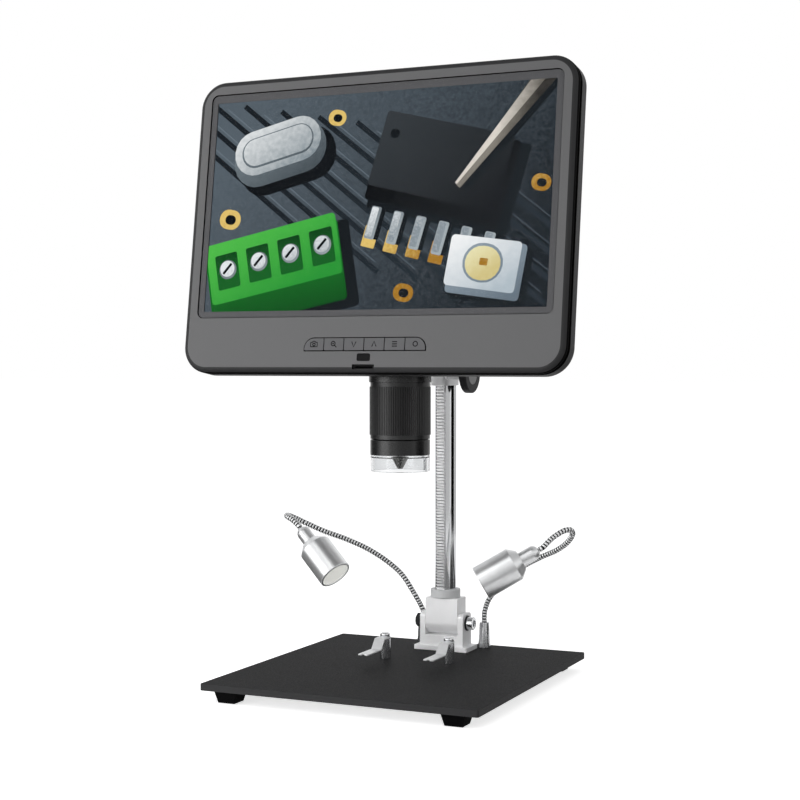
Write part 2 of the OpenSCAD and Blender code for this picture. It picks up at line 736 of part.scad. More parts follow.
module front_bezel() color(case_grey) head_frame() difference() {
    union() {
        difference() {
            translate([0, 0, -bezel_depth]) soft_slab(bezel_depth, front_edge);
            translate([0, 0, -bezel_depth - over]) linear_extrude(bezel_depth - bezel_skin + over)
                case_outline(case_wall);
        }
        at_bosses() translate([0, 0, -boss_joint]) cylinder(r = boss_r, h = boss_joint - bezel_skin + root);
        for (x = [-1, 1]) translate([x * key_post_x, key_y, 0]) {
            translate([0, 0, -board_z]) cylinder(r = post_r, h = board_z - bezel_skin + root);
            translate([0, 0, -board_z - pin_len]) cylinder(r = pin_r, h = pin_len);
        }
    }
    translate([0, glass_up, -glass_seat]) linear_extrude(glass_seat + over)
        round_rect(glass_w + 2 * drop_gap, glass_h + 2 * drop_gap, glass_corner);
    translate([0, 0, -bezel_skin - over]) linear_extrude(bezel_skin + 2 * over)
        round_rect(picture_w + 2 * view_margin, picture_h + 2 * view_margin, view_margin);
    translate([0, key_y, -bezel_skin - over]) linear_extrude(bezel_skin + 2 * over)
        polygon(rounded(rect_points(key_row_w + 2 * key_gap, key_h + 2 * key_gap), row_corners(0, key_gap)));
    translate([0, window_y, -bezel_skin - over]) linear_extrude(bezel_skin + 2 * over)
        round_rect(window_w, window_h, window_corner);
    translate([0, card_y, -card_front]) linear_extrude(card_front + over)
        square([card_w, card_h], center = true);
    at_bosses() translate([0, 0, -boss_joint - over])
        cylinder(d = shell_screw_d + 2 * fixed_gap, h = over + boss_joint - screw_hole_end);
}

vent_w = 2.2;
vent_h = 24;
vent_pitch = 5.5;
vent_count = 7;
vent_x = 78;
vent_y = 34;
cable_w = 40;
cable_h = 20;
cable_y = -70;
board_low = [-head_w / 2 + 6, -52];
board_high = [60, 38];
board_rise = 3;
board_face = case_depth - case_wall - board_rise;
stake_r = 3;
stake_in = 6;
port_y = -22;
port_w = 30;
port_h = 3.6;
port_sunk = 0.5;
port_depth = 10;
port_low = board_face - port_h;
port_gap = 0.2;

module at_stakes()
    for (x = [board_low[0] + stake_in, board_high[0] - stake_in],
         y = [board_low[1] + stake_in, board_high[1] - stake_in])
        translate([x, y, 0]) children();

module rear_shell() color(black) head_frame() difference() {
    union() {
        difference() {
            translate([0, 0, -bezel_depth - seam_gap]) mirror([0, 0, 1]) soft_slab(rear_depth, rear_edge);
            translate([0, 0, -case_depth + case_wall]) linear_extrude(case_depth) case_outline(case_wall);
        }
        difference() {
            translate([0, 0, -bezel_depth - seam_gap - lip_root])
                linear_extrude(seam_gap + lip_root) case_outline(seam_inset);
            translate([0, 0, -case_depth]) linear_extrude(case_depth) case_outline(seam_inset + lip_t);
        }
        at_bosses() translate([0, 0, -case_depth + case_wall - root])
            cylinder(r = boss_r, h = case_depth - case_wall + root - boss_joint);
        at_stakes() {
            translate([0, 0, -case_depth + case_wall - root])
                cylinder(r = stake_r, h = case_depth - case_wall + root - board_face - board_t);
            translate([0, 0, -board_face - board_t]) cylinder(r = pin_r, h = pin_len);
        }
    }
    at_bosses() translate([0, 0, -case_depth - over]) {
        cylinder(d = shell_screw_d + 2 * drop_gap, h = case_depth + over);
        cylinder(d = shell_head_d + 2 * drop_gap, h = case_depth - shell_seat + over);
    }
    for (side = [-1, 1], i = [0 : vent_count - 1])
        translate([side * vent_x + (i - (vent_count - 1) / 2) * vent_pitch, vent_y, -case_depth])
            cube([vent_w, vent_h, 3 * case_wall], center = true);
    translate([0, cable_y, -case_depth]) cube([cable_w, cable_h, 3 * case_wall], center = true);
    box([-head_w / 2 - over, port_y - port_w / 2 - port_gap, -board_face - port_gap],
        [-head_w / 2 + case_wall + over, port_y + port_w / 2 + port_gap, -port_low + port_gap]);
}

module shell_screws() color("#1c1c1c") head_frame() at_bosses() translate([0, 0, -shell_seat])
    rotate([180, 0, 0]) screw(shell_screw_d, shell_screw_len, shell_head_d, shell_head_h);

module cover_glass() color([0.1, 0.1, 0.1, 0.4]) head_frame() translate([0, glass_up, -glass_seat])
    linear_extrude(glass_t) round_rect(glass_w, glass_h, glass_corner - drop_gap);

panel_t = 4.4;
panel_side = 1.8;
panel_end = 0.7;
panel_corner = 1;
module lcd_panel() color("#202224") head_frame() translate([0, glass_up, -bezel_skin - drop_gap - panel_t])
    linear_extrude(panel_t) round_rect(glass_w + 2 * panel_side, glass_h + 2 * panel_end, panel_corner);

// Shield can and three chips: middle X, middle Y, width and height of each
chips = [[-70, 6, 34, 30], [-20, 12, 18, 18], [20, -14, 26, 20], [-66, -32, 20, 12]];
chip_t = 2.2;

// Board with its shield can and chips on the side that faces the panel
module main_board() color("#1f5a38") head_frame() {
    difference() {
        box([board_low[0], board_low[1], -board_face - board_t], [board_high[0], board_high[1], -board_face]);
        at_stakes() translate([0, 0, -case_depth]) cylinder(r = pin_r + fixed_gap, h = case_depth);
    }
    for (c = chips) translate([c[0], c[1], -board_face + chip_t / 2])
        cube([c[2], c[3], chip_t], center = true);
}

module key_board() color("#1f5a38") head_frame() {
    difference() {
        box([-key_post_x - key_board_end, key_y - key_board_h / 2, -board_z - board_t],
            [key_post_x + key_board_end, key_y + key_board_h / 2, -board_z]);
        for (x = [-1, 1]) translate([x * key_post_x, key_y, -case_depth])
            cylinder(r = pin_r + fixed_gap, h = case_depth);
    }
    for (i = [1 : key_count]) translate([key_x(i), key_y, -board_z]) {
        translate([0, 0, switch_body / 2]) cube([switch_w, switch_w, switch_body], center = true);
        cylinder(d = switch_d, h = switch_h);
    }
}

module button(i) color(case_grey) head_frame() translate([key_x(i), key_y, 0]) {
    flange_z = bezel_skin + run_gap;
    translate([0, 0, -flange_z]) linear_extrude(flange_z + key_proud)
        polygon(rounded(rect_points(key_w, key_h), row_corners(i, 0)));
    translate([0, 0, -flange_z - key_flange_t]) linear_extrude(key_flange_t)
        square([key_w, key_h + 2 * key_flange], center = true);
    translate([0, 0, -switch_top + key_travel + run_gap])
        cylinder(d = key_stem_d, h = switch_top - key_travel - run_gap - flange_z - key_flange_t);
}

module button_1() button(1);
module button_2() button(2);
module button_3() button(3);
module button_4() button(4);
module button_5() button(5);
module button_6() button(6);

module ir_window() color("#1a1a1c") head_frame() translate([0, window_y, 0]) {
    translate([0, 0, -bezel_skin]) linear_extrude(bezel_skin - window_sunk)
        round_rect(window_w - 2 * run_gap, window_h - 2 * run_gap, window_corner);
    translate([0, 0, -bezel_skin - window_lip_t]) linear_extrude(window_lip_t)
        round_rect(window_w + 2 * window_lip, window_h + 2 * window_lip, window_corner);
}

// Memory card socket: its mouth fills a notch in the bezel, and its body lies behind the window
card_side = 1;
card_below = 0.8;
card_above = 3;
card_back = 1.1;
card_stop = 3;
card_mouth = [11.4, 0.9];

module card_slot() color("#101010") head_frame() difference() {
    union() {
        translate([0, card_y, -card_front]) linear_extrude(card_front - card_sunk)
            square([card_w - 2 * run_gap, card_h - 2 * run_gap], center = true);
        box([-card_w / 2 - card_side, card_y - card_below, -case_depth + case_wall + card_back],
            [card_w / 2 + card_side, card_y + card_above, -card_front]);
    }
    box([-card_mouth[0] / 2, card_y - card_mouth[1] / 2, -case_depth + case_wall + card_stop],
        [card_mouth[0] / 2, card_y + card_mouth[1] / 2, 0]);
}

// A charging mouth and a small video mouth: distance from the block's middle and width of each
mouths = [[-7.5, 9], [7, 11]];
mouth_h = 2.8;
mouth_corner = 1.3;
mouth_depth = 7;

module port_block() color("#26282a") head_frame() difference() {
    box([-head_w / 2 + port_sunk, port_y - port_w / 2, -board_face],
        [-head_w / 2 + port_depth, port_y + port_w / 2, -port_low]);
    for (m = mouths) translate([-head_w / 2, port_y + m[0], -board_face + port_h / 2])
        along_x(2 * mouth_depth) round_rect(m[1], mouth_h, mouth_corner);
}

// ---- Camera housing and barrel ----

barrel_top = carriage_z + barrel_rise;
housing_chin = 24;
housing_top = carriage_z + 60;
housing_corner = 6;
housing_edge = 5;
housing_bend = 8;
housing_foot_y = boss_foot_y;
housing_head_y = -20;

function housing_side(front) = [head_yz(housing_foot_y, front), [-housing_chin, barrel_top],
    [housing_back, barrel_top], [housing_back, housing_top], head_yz(housing_head_y, front)];

module camera_housing() color(black) difference() {
    intersection() {
        along_x(housing_w) polygon(rounded(housing_side(-case_depth - fixed_gap),
            [0, housing_bend, housing_edge, housing_bend, 0]));
        translate([0, housing_back - head_w / 2, 0]) linear_extrude(screen_z)
            round_rect(housing_w, head_w, housing_corner);
    }
    intersection() {
        along_x(housing_w - 2 * case_wall)
            polygon(inset(housing_side(-case_depth + case_wall + over), case_wall));
        translate([0, housing_back - case_wall - head_w / 2, 0]) linear_extrude(screen_z)
            round_rect(housing_w - 2 * case_wall, head_w, housing_corner - case_wall);
    }
    translate([0, -lens_front, barrel_top - over])
        cylinder(d = tube_d + 2 * fixed_gap, h = case_wall + 2 * over);
    at_arm_screws() rod_y(arm_screw_d + 2 * drop_gap, housing_back - 2 * case_wall, housing_back + over);
}

plate_margin = 7;
module mount_plate() color("#a4a6a8") difference() {
    box([-arm_screw_x - plate_margin, housing_back - case_wall - plate_t, arm_z - arm_screw_z - plate_margin],
        [arm_screw_x + plate_margin, housing_back - case_wall, arm_z + arm_screw_z + plate_margin]);
    at_arm_screws() rod_y(arm_screw_d + 2 * fixed_gap, housing_back - 3 * case_wall, housing_back);
}

ring_gap = 0.1;
ring_top = barrel_top - neck_h - run_gap;
ring_low = ring_top - ring_h;
ring_land = 2.5;
lower_groove = 0.6;
lower_wall = 1.4;
lower_step = 1.2;
lower_top = ring_low - lower_groove;
lower_low = lower_top - lower_h;
lower_id = lower_d - 2 * lower_wall;
cap_low = lower_low - cap_h;
led_ledge = lower_low + 3.6;
led_board_t = 1.2;
led_bore = 19;
spigot_h = 2;
spigot_wall = 1.5;
tube_low = led_ledge + 0.6;
tube_high = barrel_top + 6.4;
tube_id = tube_d - 2 * tube_wall;
cell_d = tube_id - 2 * run_gap;
cell_rise = 2;
cell_len = 26;
cell_low = tube_low + cell_rise;
cell_high = cell_low + cell_len;
cell_floor = cell_low + 4;
nose_d = 17;
nose_tip = cap_low + 1.5;
nose_tip_d = 3.2;
nose_cone_d = 11;
nose_cone_h = 7.2;
nose_step = 1.2;
nose_skin = 3;
nose_bore = 6;
lens_bore = 14;
lens_d = lens_bore - 2 * run_gap;
lens_front_t = 5;
lens_rear_t = 4.4;
lens_stop = 12;

module at_lens(z) translate([0, -lens_front, z]) children();

module barrel_tube() color(black) difference() {
    union() {
        at_lens(tube_low) cylinder(d = tube_d, h = tube_high - tube_low);
        at_lens(barrel_top - neck_h) cylinder(d = neck_d, h = neck_h);
    }
    at_lens(tube_low - over) cylinder(d = tube_id, h = tube_high - tube_low + 2 * over);
}

module focus_ring() color("#29292a") difference() {
    step = 360 / rib_count;
    union() {
        at_lens(ring_low) cylinder(d = ring_d - 2 * rib_depth, h = ring_h);
        at_lens(ring_low + ring_land) linear_extrude(ring_h - 2 * ring_land)
            polygon([for (i = [0 : rib_count - 1]) each
                [polar(ring_d / 2 - rib_depth, i * step), polar(ring_d / 2, (i + 0.25) * step),
                 polar(ring_d / 2, (i + 0.55) * step), polar(ring_d / 2 - rib_depth, (i + 0.8) * step)]]);
    }
    at_lens(ring_low - over) cylinder(d = tube_d + 2 * ring_gap, h = ring_h + 2 * over);
}

// Ring that holds the light board and the clear cap under the barrel
module lower_ring() color("#333334") difference() {
    union() {
        at_lens(lower_low) cylinder(d = lower_d, h = lower_h);
        at_lens(lower_top) cylinder(d = lower_d - 2 * lower_step, h = lower_groove - run_gap);
    }
    at_lens(lower_low - over) cylinder(d = tube_d + 2 * fixed_gap, h = lower_h + 3 * over);
    at_lens(lower_low - over) cylinder(d = lower_id, h = led_ledge - lower_low + over);
}

module clear_cap() color([0.9, 0.93, 0.95, 0.35]) difference() {
    union() {
        at_lens(cap_low) cylinder(d = cap_d, h = cap_h);
        at_lens(lower_low) cylinder(d = lower_id - 2 * fixed_gap, h = spigot_h);
    }
    at_lens(cap_low - over) cylinder(d = cap_d - 2 * cap_wall, h = cap_h - spigot_wall + over);
    at_lens(cap_low) cylinder(d = lower_id - 2 * spigot_wall, h = cap_h + spigot_h + over);
}

led_count = 8;
led_r = 12.8;
led_size = 2.8;
led_h = 0.8;

module led_ring() color("#dfe2dc") {
    difference() {
        at_lens(led_ledge - led_board_t) cylinder(d = lower_id - 2 * run_gap, h = led_board_t);
        at_lens(lower_low) cylinder(d = led_bore, h = lower_h);
    }
    for (i = [0 : led_count - 1]) at_lens(led_ledge - led_board_t - led_h / 2)
        rotate([0, 0, (i + 0.5) * 360 / led_count]) translate([led_r, 0, 0])
            cube([led_size, led_size, led_h], center = true);
}

// Turned lens cell with a long nose that looks out of the clear cap
module lens_cell() color("#1c1c1d") difference() {
    at_lens(0) rotate_extrude()
        polygon([[0, nose_tip], [nose_tip_d / 2, nose_tip], [nose_cone_d / 2, nose_tip + nose_cone_h],
            [nose_d / 2, nose_tip + nose_cone_h + nose_step], [nose_d / 2, cell_low],
            [cell_d / 2, cell_low], [cell_d / 2, cell_high], [0, cell_high]]);
    at_lens(cell_floor) cylinder(d = lens_bore, h = cell_len);
    at_lens(nose_tip + nose_skin) cylinder(d = nose_bore, h = cell_len);
    at_lens(nose_tip - over) cylinder(d = nose_tip_d / 2, h = cell_len);
}

// Biconvex lens between z and z + h, cut from two balls
module lens(z, h, d) {
    ball = 1.1 * d;
    rise = ball - sqrt(ball * ball - d * d / 4);
    at_lens(z) intersection() {
        cylinder(d = d, h = h);
        translate([0, 0, ball]) sphere(r = ball);
        translate([0, 0, h - ball]) sphere(r = ball);
    }
}

module lens_elements() color([0.75, 0.85, 0.9, 0.4]) {
    lens(cell_floor, lens_front_t, lens_d);
    lens(cell_floor + lens_stop, lens_rear_t, lens_d);
}

sensor_board_w = 38;
sensor_board_d = 30;
sensor_w = 12;
sensor_t = 1.2;

// Board that sits on the barrel's upper end, with the image sensor under it
module sensor_board() color("#1f5a38") {
    at_lens(tube_high + board_t / 2) cube([sensor_board_w, sensor_board_d, board_t], center = true);
    at_lens(tube_high - sensor_t / 2) cube([sensor_w, sensor_w, sensor_t], center = true);
}

// ---- Lamps on goosenecks ----

socket_top = deck + socket_h;
socket_bore = 5;
lamp_pivot = lamp_len + lamp_cone + lamp_neck_len;
dome_gap = 0.1;
lamp_lens_seat = 2.2;
lamp_lens_t = 1.2;
lamp_edge = 0.4;
reflector_ledge = 0.6;
led_bore_d = 9;
led_slug_t = 1.3;
led_dome_d = 4;
cone_shoulder = 2;
left_foot = [-socket_spacing / 2, socket_y, socket_top];
left_reach = [-29.5, -73, 36];
left_front = left_foot + left_reach;
left_turn = [0, 48, 164];
right_foot = [socket_spacing / 2, socket_y, socket_top];
right_reach = [22, -63, 35];
right_front = right_foot + right_reach;
right_turn = [0, 60, 25];
gooseneck_sides = 8;
neck_lead = 3;

module at_left_lamp() translate(left_front) rotate(left_turn) children();
module at_right_lamp() translate(right_front) rotate(right_turn) children();
function lamp_axis(turn) = [sin(turn[1]) * cos(turn[2]), sin(turn[1]) * sin(turn[2]), cos(turn[1])];
// Point on a lamp's axis, this far behind its front
function lamp_point(front, turn, back) = front + back * lamp_axis(turn);

module lamp_sockets() color(silver) at_sockets() difference() {
    union() {
        translate([0, 0, deck]) cylinder(d1 = socket_foot_d, d2 = socket_top_d, h = socket_h);
        translate([0, 0, foot_h]) cylinder(d = stud_d, h = base_t);
    }
    translate([0, 0, socket_top - socket_bore])
        cylinder(d = gooseneck_d + 2 * run_gap, h = socket_bore + over);
}

// Route from the bottom of the socket's bore to where the neck's round end begins. The points
// between are chosen by hand, from the middle of the socket's top.
neck_start = lamp_pivot + lamp_neck_d / 2 + dome_gap;
function route(foot, bends, front, turn) = concat([foot - [0, 0, socket_bore - dome_gap], foot],
    [for (b = bends) foot + b],
    [lamp_point(front, turn, neck_start + neck_lead), lamp_point(front, turn, neck_start)]);
left_bends = [[0, 0, 4], [-2, 0, 8.5], [-6.5, -0.5, 16], [-14, -3.5, 28.5], [-22.8, -9, 38],
    [-33.6, -16.7, 46.7], [-45.4, -25.8, 53.7], [-57.1, -35, 59.4], [-66.5, -42.5, 65],
    [-71.8, -47, 68.4], [-74.3, -51.5, 70.4], [-73.8, -56.5, 71], [-70.6, -60, 70.4],
    [-66.5, -62.1, 69]];
right_bends = [[0, 0, 5], [1, 0, 10], [4, 0, 16.5], [13.2, -2, 26.9], [27.2, -5.7, 37.8],
    [42.6, -11, 46.2], [55, -15.7, 51.8], [63.6, -20.2, 57.5], [69, -25.2, 63.6],
    [69.6, -30.2, 66.9], [67, -34.8, 67], [63, -39.4, 64.3], [60, -43, 61.3]];
left_route = route(left_foot, left_bends, left_front, left_turn);
right_route = route(right_foot, right_bends, right_front, right_turn);

// Smooth curve through the route's points, with one point added in each stretch
function smooth(p) = concat([p[0]],
    [for (i = [1 : len(p) - 1])
        let(a = p[max(i - 2, 0)], b = p[i - 1], c = p[i], d = p[min(i + 1, len(p) - 1)])
        each [(9 * (b + c) - a - d) / 16, c]]);
function heading(p, i) = unit(p[min(i + 1, len(p) - 1)] - p[max(i - 1, 0)]);
function square_to(v, h) = unit(v - (v * h) * h);

// Tube along a route: each ring's first corner is carried on from the ring before
module sweep(p, d) {
    n = gooseneck_sides;
    last = len(p) - 1;
    sides = [for (i = 0, v = square_to([1, 0.2, 0], heading(p, 0)); i <= last;
        i = i + 1, v = i <= last ? square_to(v, heading(p, i)) : v) v];
    points = [for (i = [0 : last], k = [0 : n - 1])
        let(a = 360 * k / n, v = sides[i])
        p[i] + d / 2 * (cos(a) * v + sin(a) * cross(heading(p, i), v))];
    polyhedron(points, concat([[for (k = [0 : n - 1]) k]],
        [for (i = [0 : last - 1], k = [0 : n - 1])
            let(a = i * n + k, b = i * n + (k + 1) % n) [a, a + n, b + n, b]],
        [[for (k = [n - 1 : -1 : 0]) last * n + k]]));
}

module gooseneck_left() color(silver) sweep(smooth(left_route), gooseneck_d);
module gooseneck_right() color(silver) sweep(smooth(right_route), gooseneck_d);

// Turned neck with a round end behind and a spigot that holds the light's slug in front
module lamp_neck() {
    spigot_front = lamp_depth + led_slug_t;
    translate([0, 0, lamp_len + lamp_cone]) cylinder(d = lamp_neck_d, h = lamp_neck_len);
    intersection() {
        translate([0, 0, lamp_pivot]) sphere(d = lamp_neck_d);
        translate([0, 0, lamp_pivot]) cylinder(d = lamp_d, h = lamp_neck_d);
    }
    translate([0, 0, spigot_front])
        cylinder(d = led_bore_d - 2 * fixed_gap, h = lamp_len + lamp_cone - spigot_front);
}

// Turned shell whose front holds the lens and whose inside is the reflector
module lamp_shell() difference() {
    rim = lamp_d / 2 - lamp_wall;
    rotate_extrude() polygon([[0, 0], [lamp_d / 2 - lamp_edge, 0], [lamp_d / 2, lamp_edge],
        [lamp_d / 2, lamp_len], [led_bore_d / 2 + cone_shoulder, lamp_len + lamp_cone],
        [0, lamp_len + lamp_cone]]);
    translate([0, 0, -over]) cylinder(r = rim, h = lamp_lens_seat + over);
    translate([0, 0, lamp_lens_seat])
        cylinder(r1 = rim - reflector_ledge, r2 = led_bore_d / 2, h = lamp_depth - lamp_lens_seat);
    translate([0, 0, lamp_lens_seat]) cylinder(d = led_bore_d, h = lamp_len + lamp_cone);
}

module lamp_lens() translate([0, 0, lamp_lens_seat - lamp_lens_t])
    cylinder(r = lamp_d / 2 - lamp_wall - run_gap, h = lamp_lens_t);

module lamp_led() translate([0, 0, lamp_depth]) {
    cylinder(d = led_bore_d - 2 * run_gap, h = led_slug_t);
    intersection() {
        sphere(d = led_dome_d);
        translate([0, 0, -led_dome_d / 2]) cylinder(d = led_dome_d, h = led_dome_d / 2);
    }
}

module lamp_neck_left() color(silver) at_left_lamp() lamp_neck();
module lamp_neck_right() color(silver) at_right_lamp() lamp_neck();
module lamp_shell_left() color(silver) at_left_lamp() lamp_shell();
module lamp_shell_right() color(silver) at_right_lamp() lamp_shell();
module lamp_lens_left() color([0.92, 0.94, 0.95, 0.5]) at_left_lamp() lamp_lens();
module lamp_lens_right() color([0.92, 0.94, 0.95, 0.5]) at_right_lamp() lamp_lens();
module lamp_led_left() color("#e8e2c0") at_left_lamp() lamp_led();
module lamp_led_right() color("#e8e2c0") at_right_lamp() lamp_led();

base_plate();
feet();
base_screws();
clip_posts();
clip_blade_left();
clip_blade_right();
clip_nuts();
pillar_bracket();
hinge_block();
hinge_bolt();
hinge_nut_washers();
pillar_tube();
pillar_collar();
rack();
pillar_cap();
carriage();
tension_screw();
arm_screws();
pinion_shaft();
pinion_bushes();
focus_knob_left();
focus_knob_right();
knob_caps();
front_bezel();
rear_shell();
shell_screws();
cover_glass();
lcd_panel();
main_board();
key_board();
button_1();
button_2();
button_3();
button_4();
button_5();
button_6();
ir_window();
card_slot();
port_block();
camera_housing();
mount_plate();
barrel_tube();
focus_ring();
lens_cell();
lens_elements();
lower_ring();
clear_cap();
led_ring();
sensor_board();
lamp_sockets();
gooseneck_left();
gooseneck_right();
lamp_neck_left();
lamp_neck_right();
lamp_shell_left();
lamp_shell_right();
lamp_lens_left();
lamp_lens_right();
lamp_led_left();
lamp_led_right();
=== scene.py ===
"""Digital microscope with a 10.1 inch display on a rack-and-pinion pillar stand.

The sections follow the object as it is put together: the stand from its base plate up, then the
display head, the barrel and the two lamps. The camera and the studio are in metres, and the
object's own sizes in millimetres. +Z is up and +Y points away from the user.
"""
import json
import math

import bpy
from mathutils import Matrix, Vector
from mathutils.kdtree import KDTree

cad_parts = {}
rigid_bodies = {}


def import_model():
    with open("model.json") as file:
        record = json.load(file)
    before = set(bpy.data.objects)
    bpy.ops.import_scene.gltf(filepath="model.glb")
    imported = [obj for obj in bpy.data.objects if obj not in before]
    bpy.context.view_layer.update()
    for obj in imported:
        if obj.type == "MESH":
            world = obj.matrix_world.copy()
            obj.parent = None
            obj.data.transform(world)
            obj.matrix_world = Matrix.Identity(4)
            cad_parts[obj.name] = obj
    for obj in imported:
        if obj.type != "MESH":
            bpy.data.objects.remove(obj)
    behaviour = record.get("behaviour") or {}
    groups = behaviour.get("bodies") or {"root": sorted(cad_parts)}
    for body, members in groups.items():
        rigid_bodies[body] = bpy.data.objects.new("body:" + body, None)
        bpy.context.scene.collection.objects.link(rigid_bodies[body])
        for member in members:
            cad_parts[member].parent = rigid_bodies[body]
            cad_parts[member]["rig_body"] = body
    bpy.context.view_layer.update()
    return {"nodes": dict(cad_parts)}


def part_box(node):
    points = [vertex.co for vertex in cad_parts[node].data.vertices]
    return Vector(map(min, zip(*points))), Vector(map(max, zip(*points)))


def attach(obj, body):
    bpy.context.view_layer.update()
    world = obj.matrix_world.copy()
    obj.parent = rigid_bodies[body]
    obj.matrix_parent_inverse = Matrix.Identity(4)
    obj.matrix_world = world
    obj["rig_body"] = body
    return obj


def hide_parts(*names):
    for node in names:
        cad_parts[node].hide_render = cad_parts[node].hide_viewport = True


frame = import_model()
MM = 0.001

# ---- Camera ----
# Stands in front of the microscope and to its right, at the height of the pillar's middle, and
# looks very slightly down. It doesn't roll.
SENSOR, LENS = 36, 70.95
CAMERA_PLACE = (0.39929, -0.88822, 0.19945)
VIEW_ALONG = Vector((-0.41115, 0.91127, -0.02331))
camera_data = bpy.data.cameras.new("camera")
camera_data.sensor_width = SENSOR
camera_data.lens = LENS
camera = bpy.data.objects.new("camera", camera_data)
camera.location = CAMERA_PLACE
camera.rotation_euler = VIEW_ALONG.to_track_quat("-Z", "Y").to_euler()
bpy.context.collection.objects.link(camera)
bpy.context.scene.camera = camera
bpy.context.scene.view_settings.view_transform = "Standard"

# ---- Studio ----
# A white room with a grey ceiling. Two soft boxes on the left give most of the light: a large one
# from above, and a low one that reaches under the display. Weak ones stand on the right and
# overhead. Cards that only mirrors see put bright, grey and dark bands into the metal.


def add(tree, kind, inputs=None, **settings):
    """Adds a shader node. Each input is a value, or another node's output to link."""
    made = tree.nodes.new("ShaderNode" + kind)
    for name, value in settings.items():
        setattr(made, name, value)
    for name, value in (inputs or {}).items():
        if isinstance(value, bpy.types.NodeSocket):
            tree.links.new(value, made.inputs[name])
        else:
            made.inputs[name].default_value = value
    return made


def linear(hex_colour):
    """An sRGB hex colour as the linear RGBA that Blender's sockets take."""
    parts = [int(hex_colour[i:i + 2], 16) / 255 for i in (1, 3, 5)]
    return [p / 12.92 if p <= 0.04045 else ((p + 0.055) / 1.055) ** 2.4 for p in parts] + [1.0]


def empty_material(name):
    """A material whose node tree is bare, and that tree."""
    made = bpy.data.materials.new(name)
    made.use_nodes = True
    made.node_tree.nodes.clear()
    return made, made.node_tree


def seen_directly(tree):
    """1 for rays from the camera or through clear plastic, and 0 for those that light or mirror."""
    path = add(tree, "LightPath")
    rays = {0: path.outputs["Is Camera Ray"], 1: path.outputs["Is Transmission Ray"]}
    return add(tree, "Math", rays, operation="MAXIMUM").outputs[0]


# The room is seen in three ways. It lights matt faces softly, and the camera sees it plain white.
# Mirrors see white walls, which turn to the ceiling's grey as a ray points further up: its Z is 0
# when it is level and 1 when it points straight up.
WHITE = linear("#ffffff")
ROOM_LIGHT, CEILING = 0.48, 0.45
WALLS_END, CEILING_STARTS = 0.45, 0.8
world = bpy.data.worlds.new("white_room")
bpy.context.scene.world = world
world.use_nodes = True
tree = world.node_tree
tree.nodes.clear()
up = add(tree, "SeparateXYZ", {"Vector": add(tree, "TexCoord").outputs["Generated"]}).outputs["Z"]
walls = add(tree, "MapRange", {"Value": up, "From Min": WALLS_END, "From Max": CEILING_STARTS,
                               "To Min": 1.0, "To Max": CEILING})
room = add(tree, "Background", {"Color": WHITE, "Strength": ROOM_LIGHT})
mirrored = add(tree, "Background", {"Color": WHITE, "Strength": walls.outputs[0]})
seen = add(tree, "Background", {"Color": WHITE, "Strength": 1.0})
glossy = add(tree, "LightPath").outputs["Is Glossy Ray"]
inner = add(tree, "MixShader", {0: glossy, 1: room.outputs[0], 2: mirrored.outputs[0]})
mixed = add(tree, "MixShader", {0: seen_directly(tree), 1: inner.outputs[0], 2: seen.outputs[0]})
add(tree, "OutputWorld", {"Surface": mixed.outputs[0]})

# The floor is matt white card, a hair below the feet. The part of its brightness that the lamps
# don't give is its own, so it meets the background without a line and still takes the object's
# shadow. In mirrors it glows at about half that strength.
FLOOR_SIZE, FLOOR_HEIGHT = 30, -0.0003
FLOOR_OWN, FLOOR_MIRRORED = 0.72, 0.35
bpy.ops.object.select_all(action="DESELECT")
bpy.ops.mesh.primitive_grid_add(x_subdivisions=2, y_subdivisions=2, size=FLOOR_SIZE,
                                location=(0, 0, FLOOR_HEIGHT))
floor = bpy.context.object
floor.name = "floor"
card, tree = empty_material("white_card")
lit = add(tree, "BsdfDiffuse", {"Color": linear("#f4f4f4")})
own = add(tree, "Emission", {"Color": WHITE, "Strength": FLOOR_OWN})
dim = add(tree, "Emission", {"Color": WHITE, "Strength": FLOOR_MIRRORED})
none = add(tree, "Emission", {"Strength": 0.0})
glossy = add(tree, "LightPath").outputs["Is Glossy Ray"]
inner = add(tree, "MixShader", {0: glossy, 1: none.outputs[0], 2: dim.outputs[0]})
shown = add(tree, "MixShader", {0: seen_directly(tree), 1: inner.outputs[0], 2: own.outputs[0]})
both = add(tree, "AddShader", {0: lit.outputs[0], 1: shown.outputs[0]})
add(tree, "OutputMaterial", {"Surface": both.outputs[0]})
floor.data.materials.append(card)


def facing(place, target):
    """Turn of a lamp or card at one place that faces another."""
    return (Vector(target) - Vector(place)).to_track_quat("-Z", "Y").to_euler()


def soft_box(name, watts, size, place, target=(0, 0, 0.2)):
    """Area lamp that faces a point on the object. In mirrors, the cards below take its place."""
    data = bpy.data.lights.new(name, "AREA")
    data.energy = watts
    data.size = size
    lamp = bpy.data.objects.new(name, data)
    lamp.location = place
    lamp.rotation_euler = facing(place, target)
    lamp.visible_glossy = False
    bpy.context.collection.objects.link(lamp)


def mirror_card(name, grey, width, height, place, target=(0, 0.05, 0.2)):
    """Card that only mirrors see. grey is how bright it looks in them."""
    bpy.ops.mesh.primitive_plane_add(size=1, location=place, rotation=facing(place, target))
    made = bpy.context.object
    made.name = name
    made.scale = (width, height, 1)
    paint_of_card, tree = empty_material(name)
    glow = add(tree, "Emission", {"Color": [grey, grey, grey, 1], "Strength": 1.0})
    add(tree, "OutputMaterial", {"Surface": glow.outputs[0]})
    made.data.materials.append(paint_of_card)
    for ray in ("camera", "diffuse", "transmission", "volume_scatter", "shadow"):
        setattr(made, "visible_" + ray, False)


PILLAR_Y = 0.07


def around(degrees, distance, height):
    """A place round the pillar, at this angle from +X."""
    angle = math.radians(degrees)
    return (distance * math.cos(angle), PILLAR_Y + distance * math.sin(angle), height)


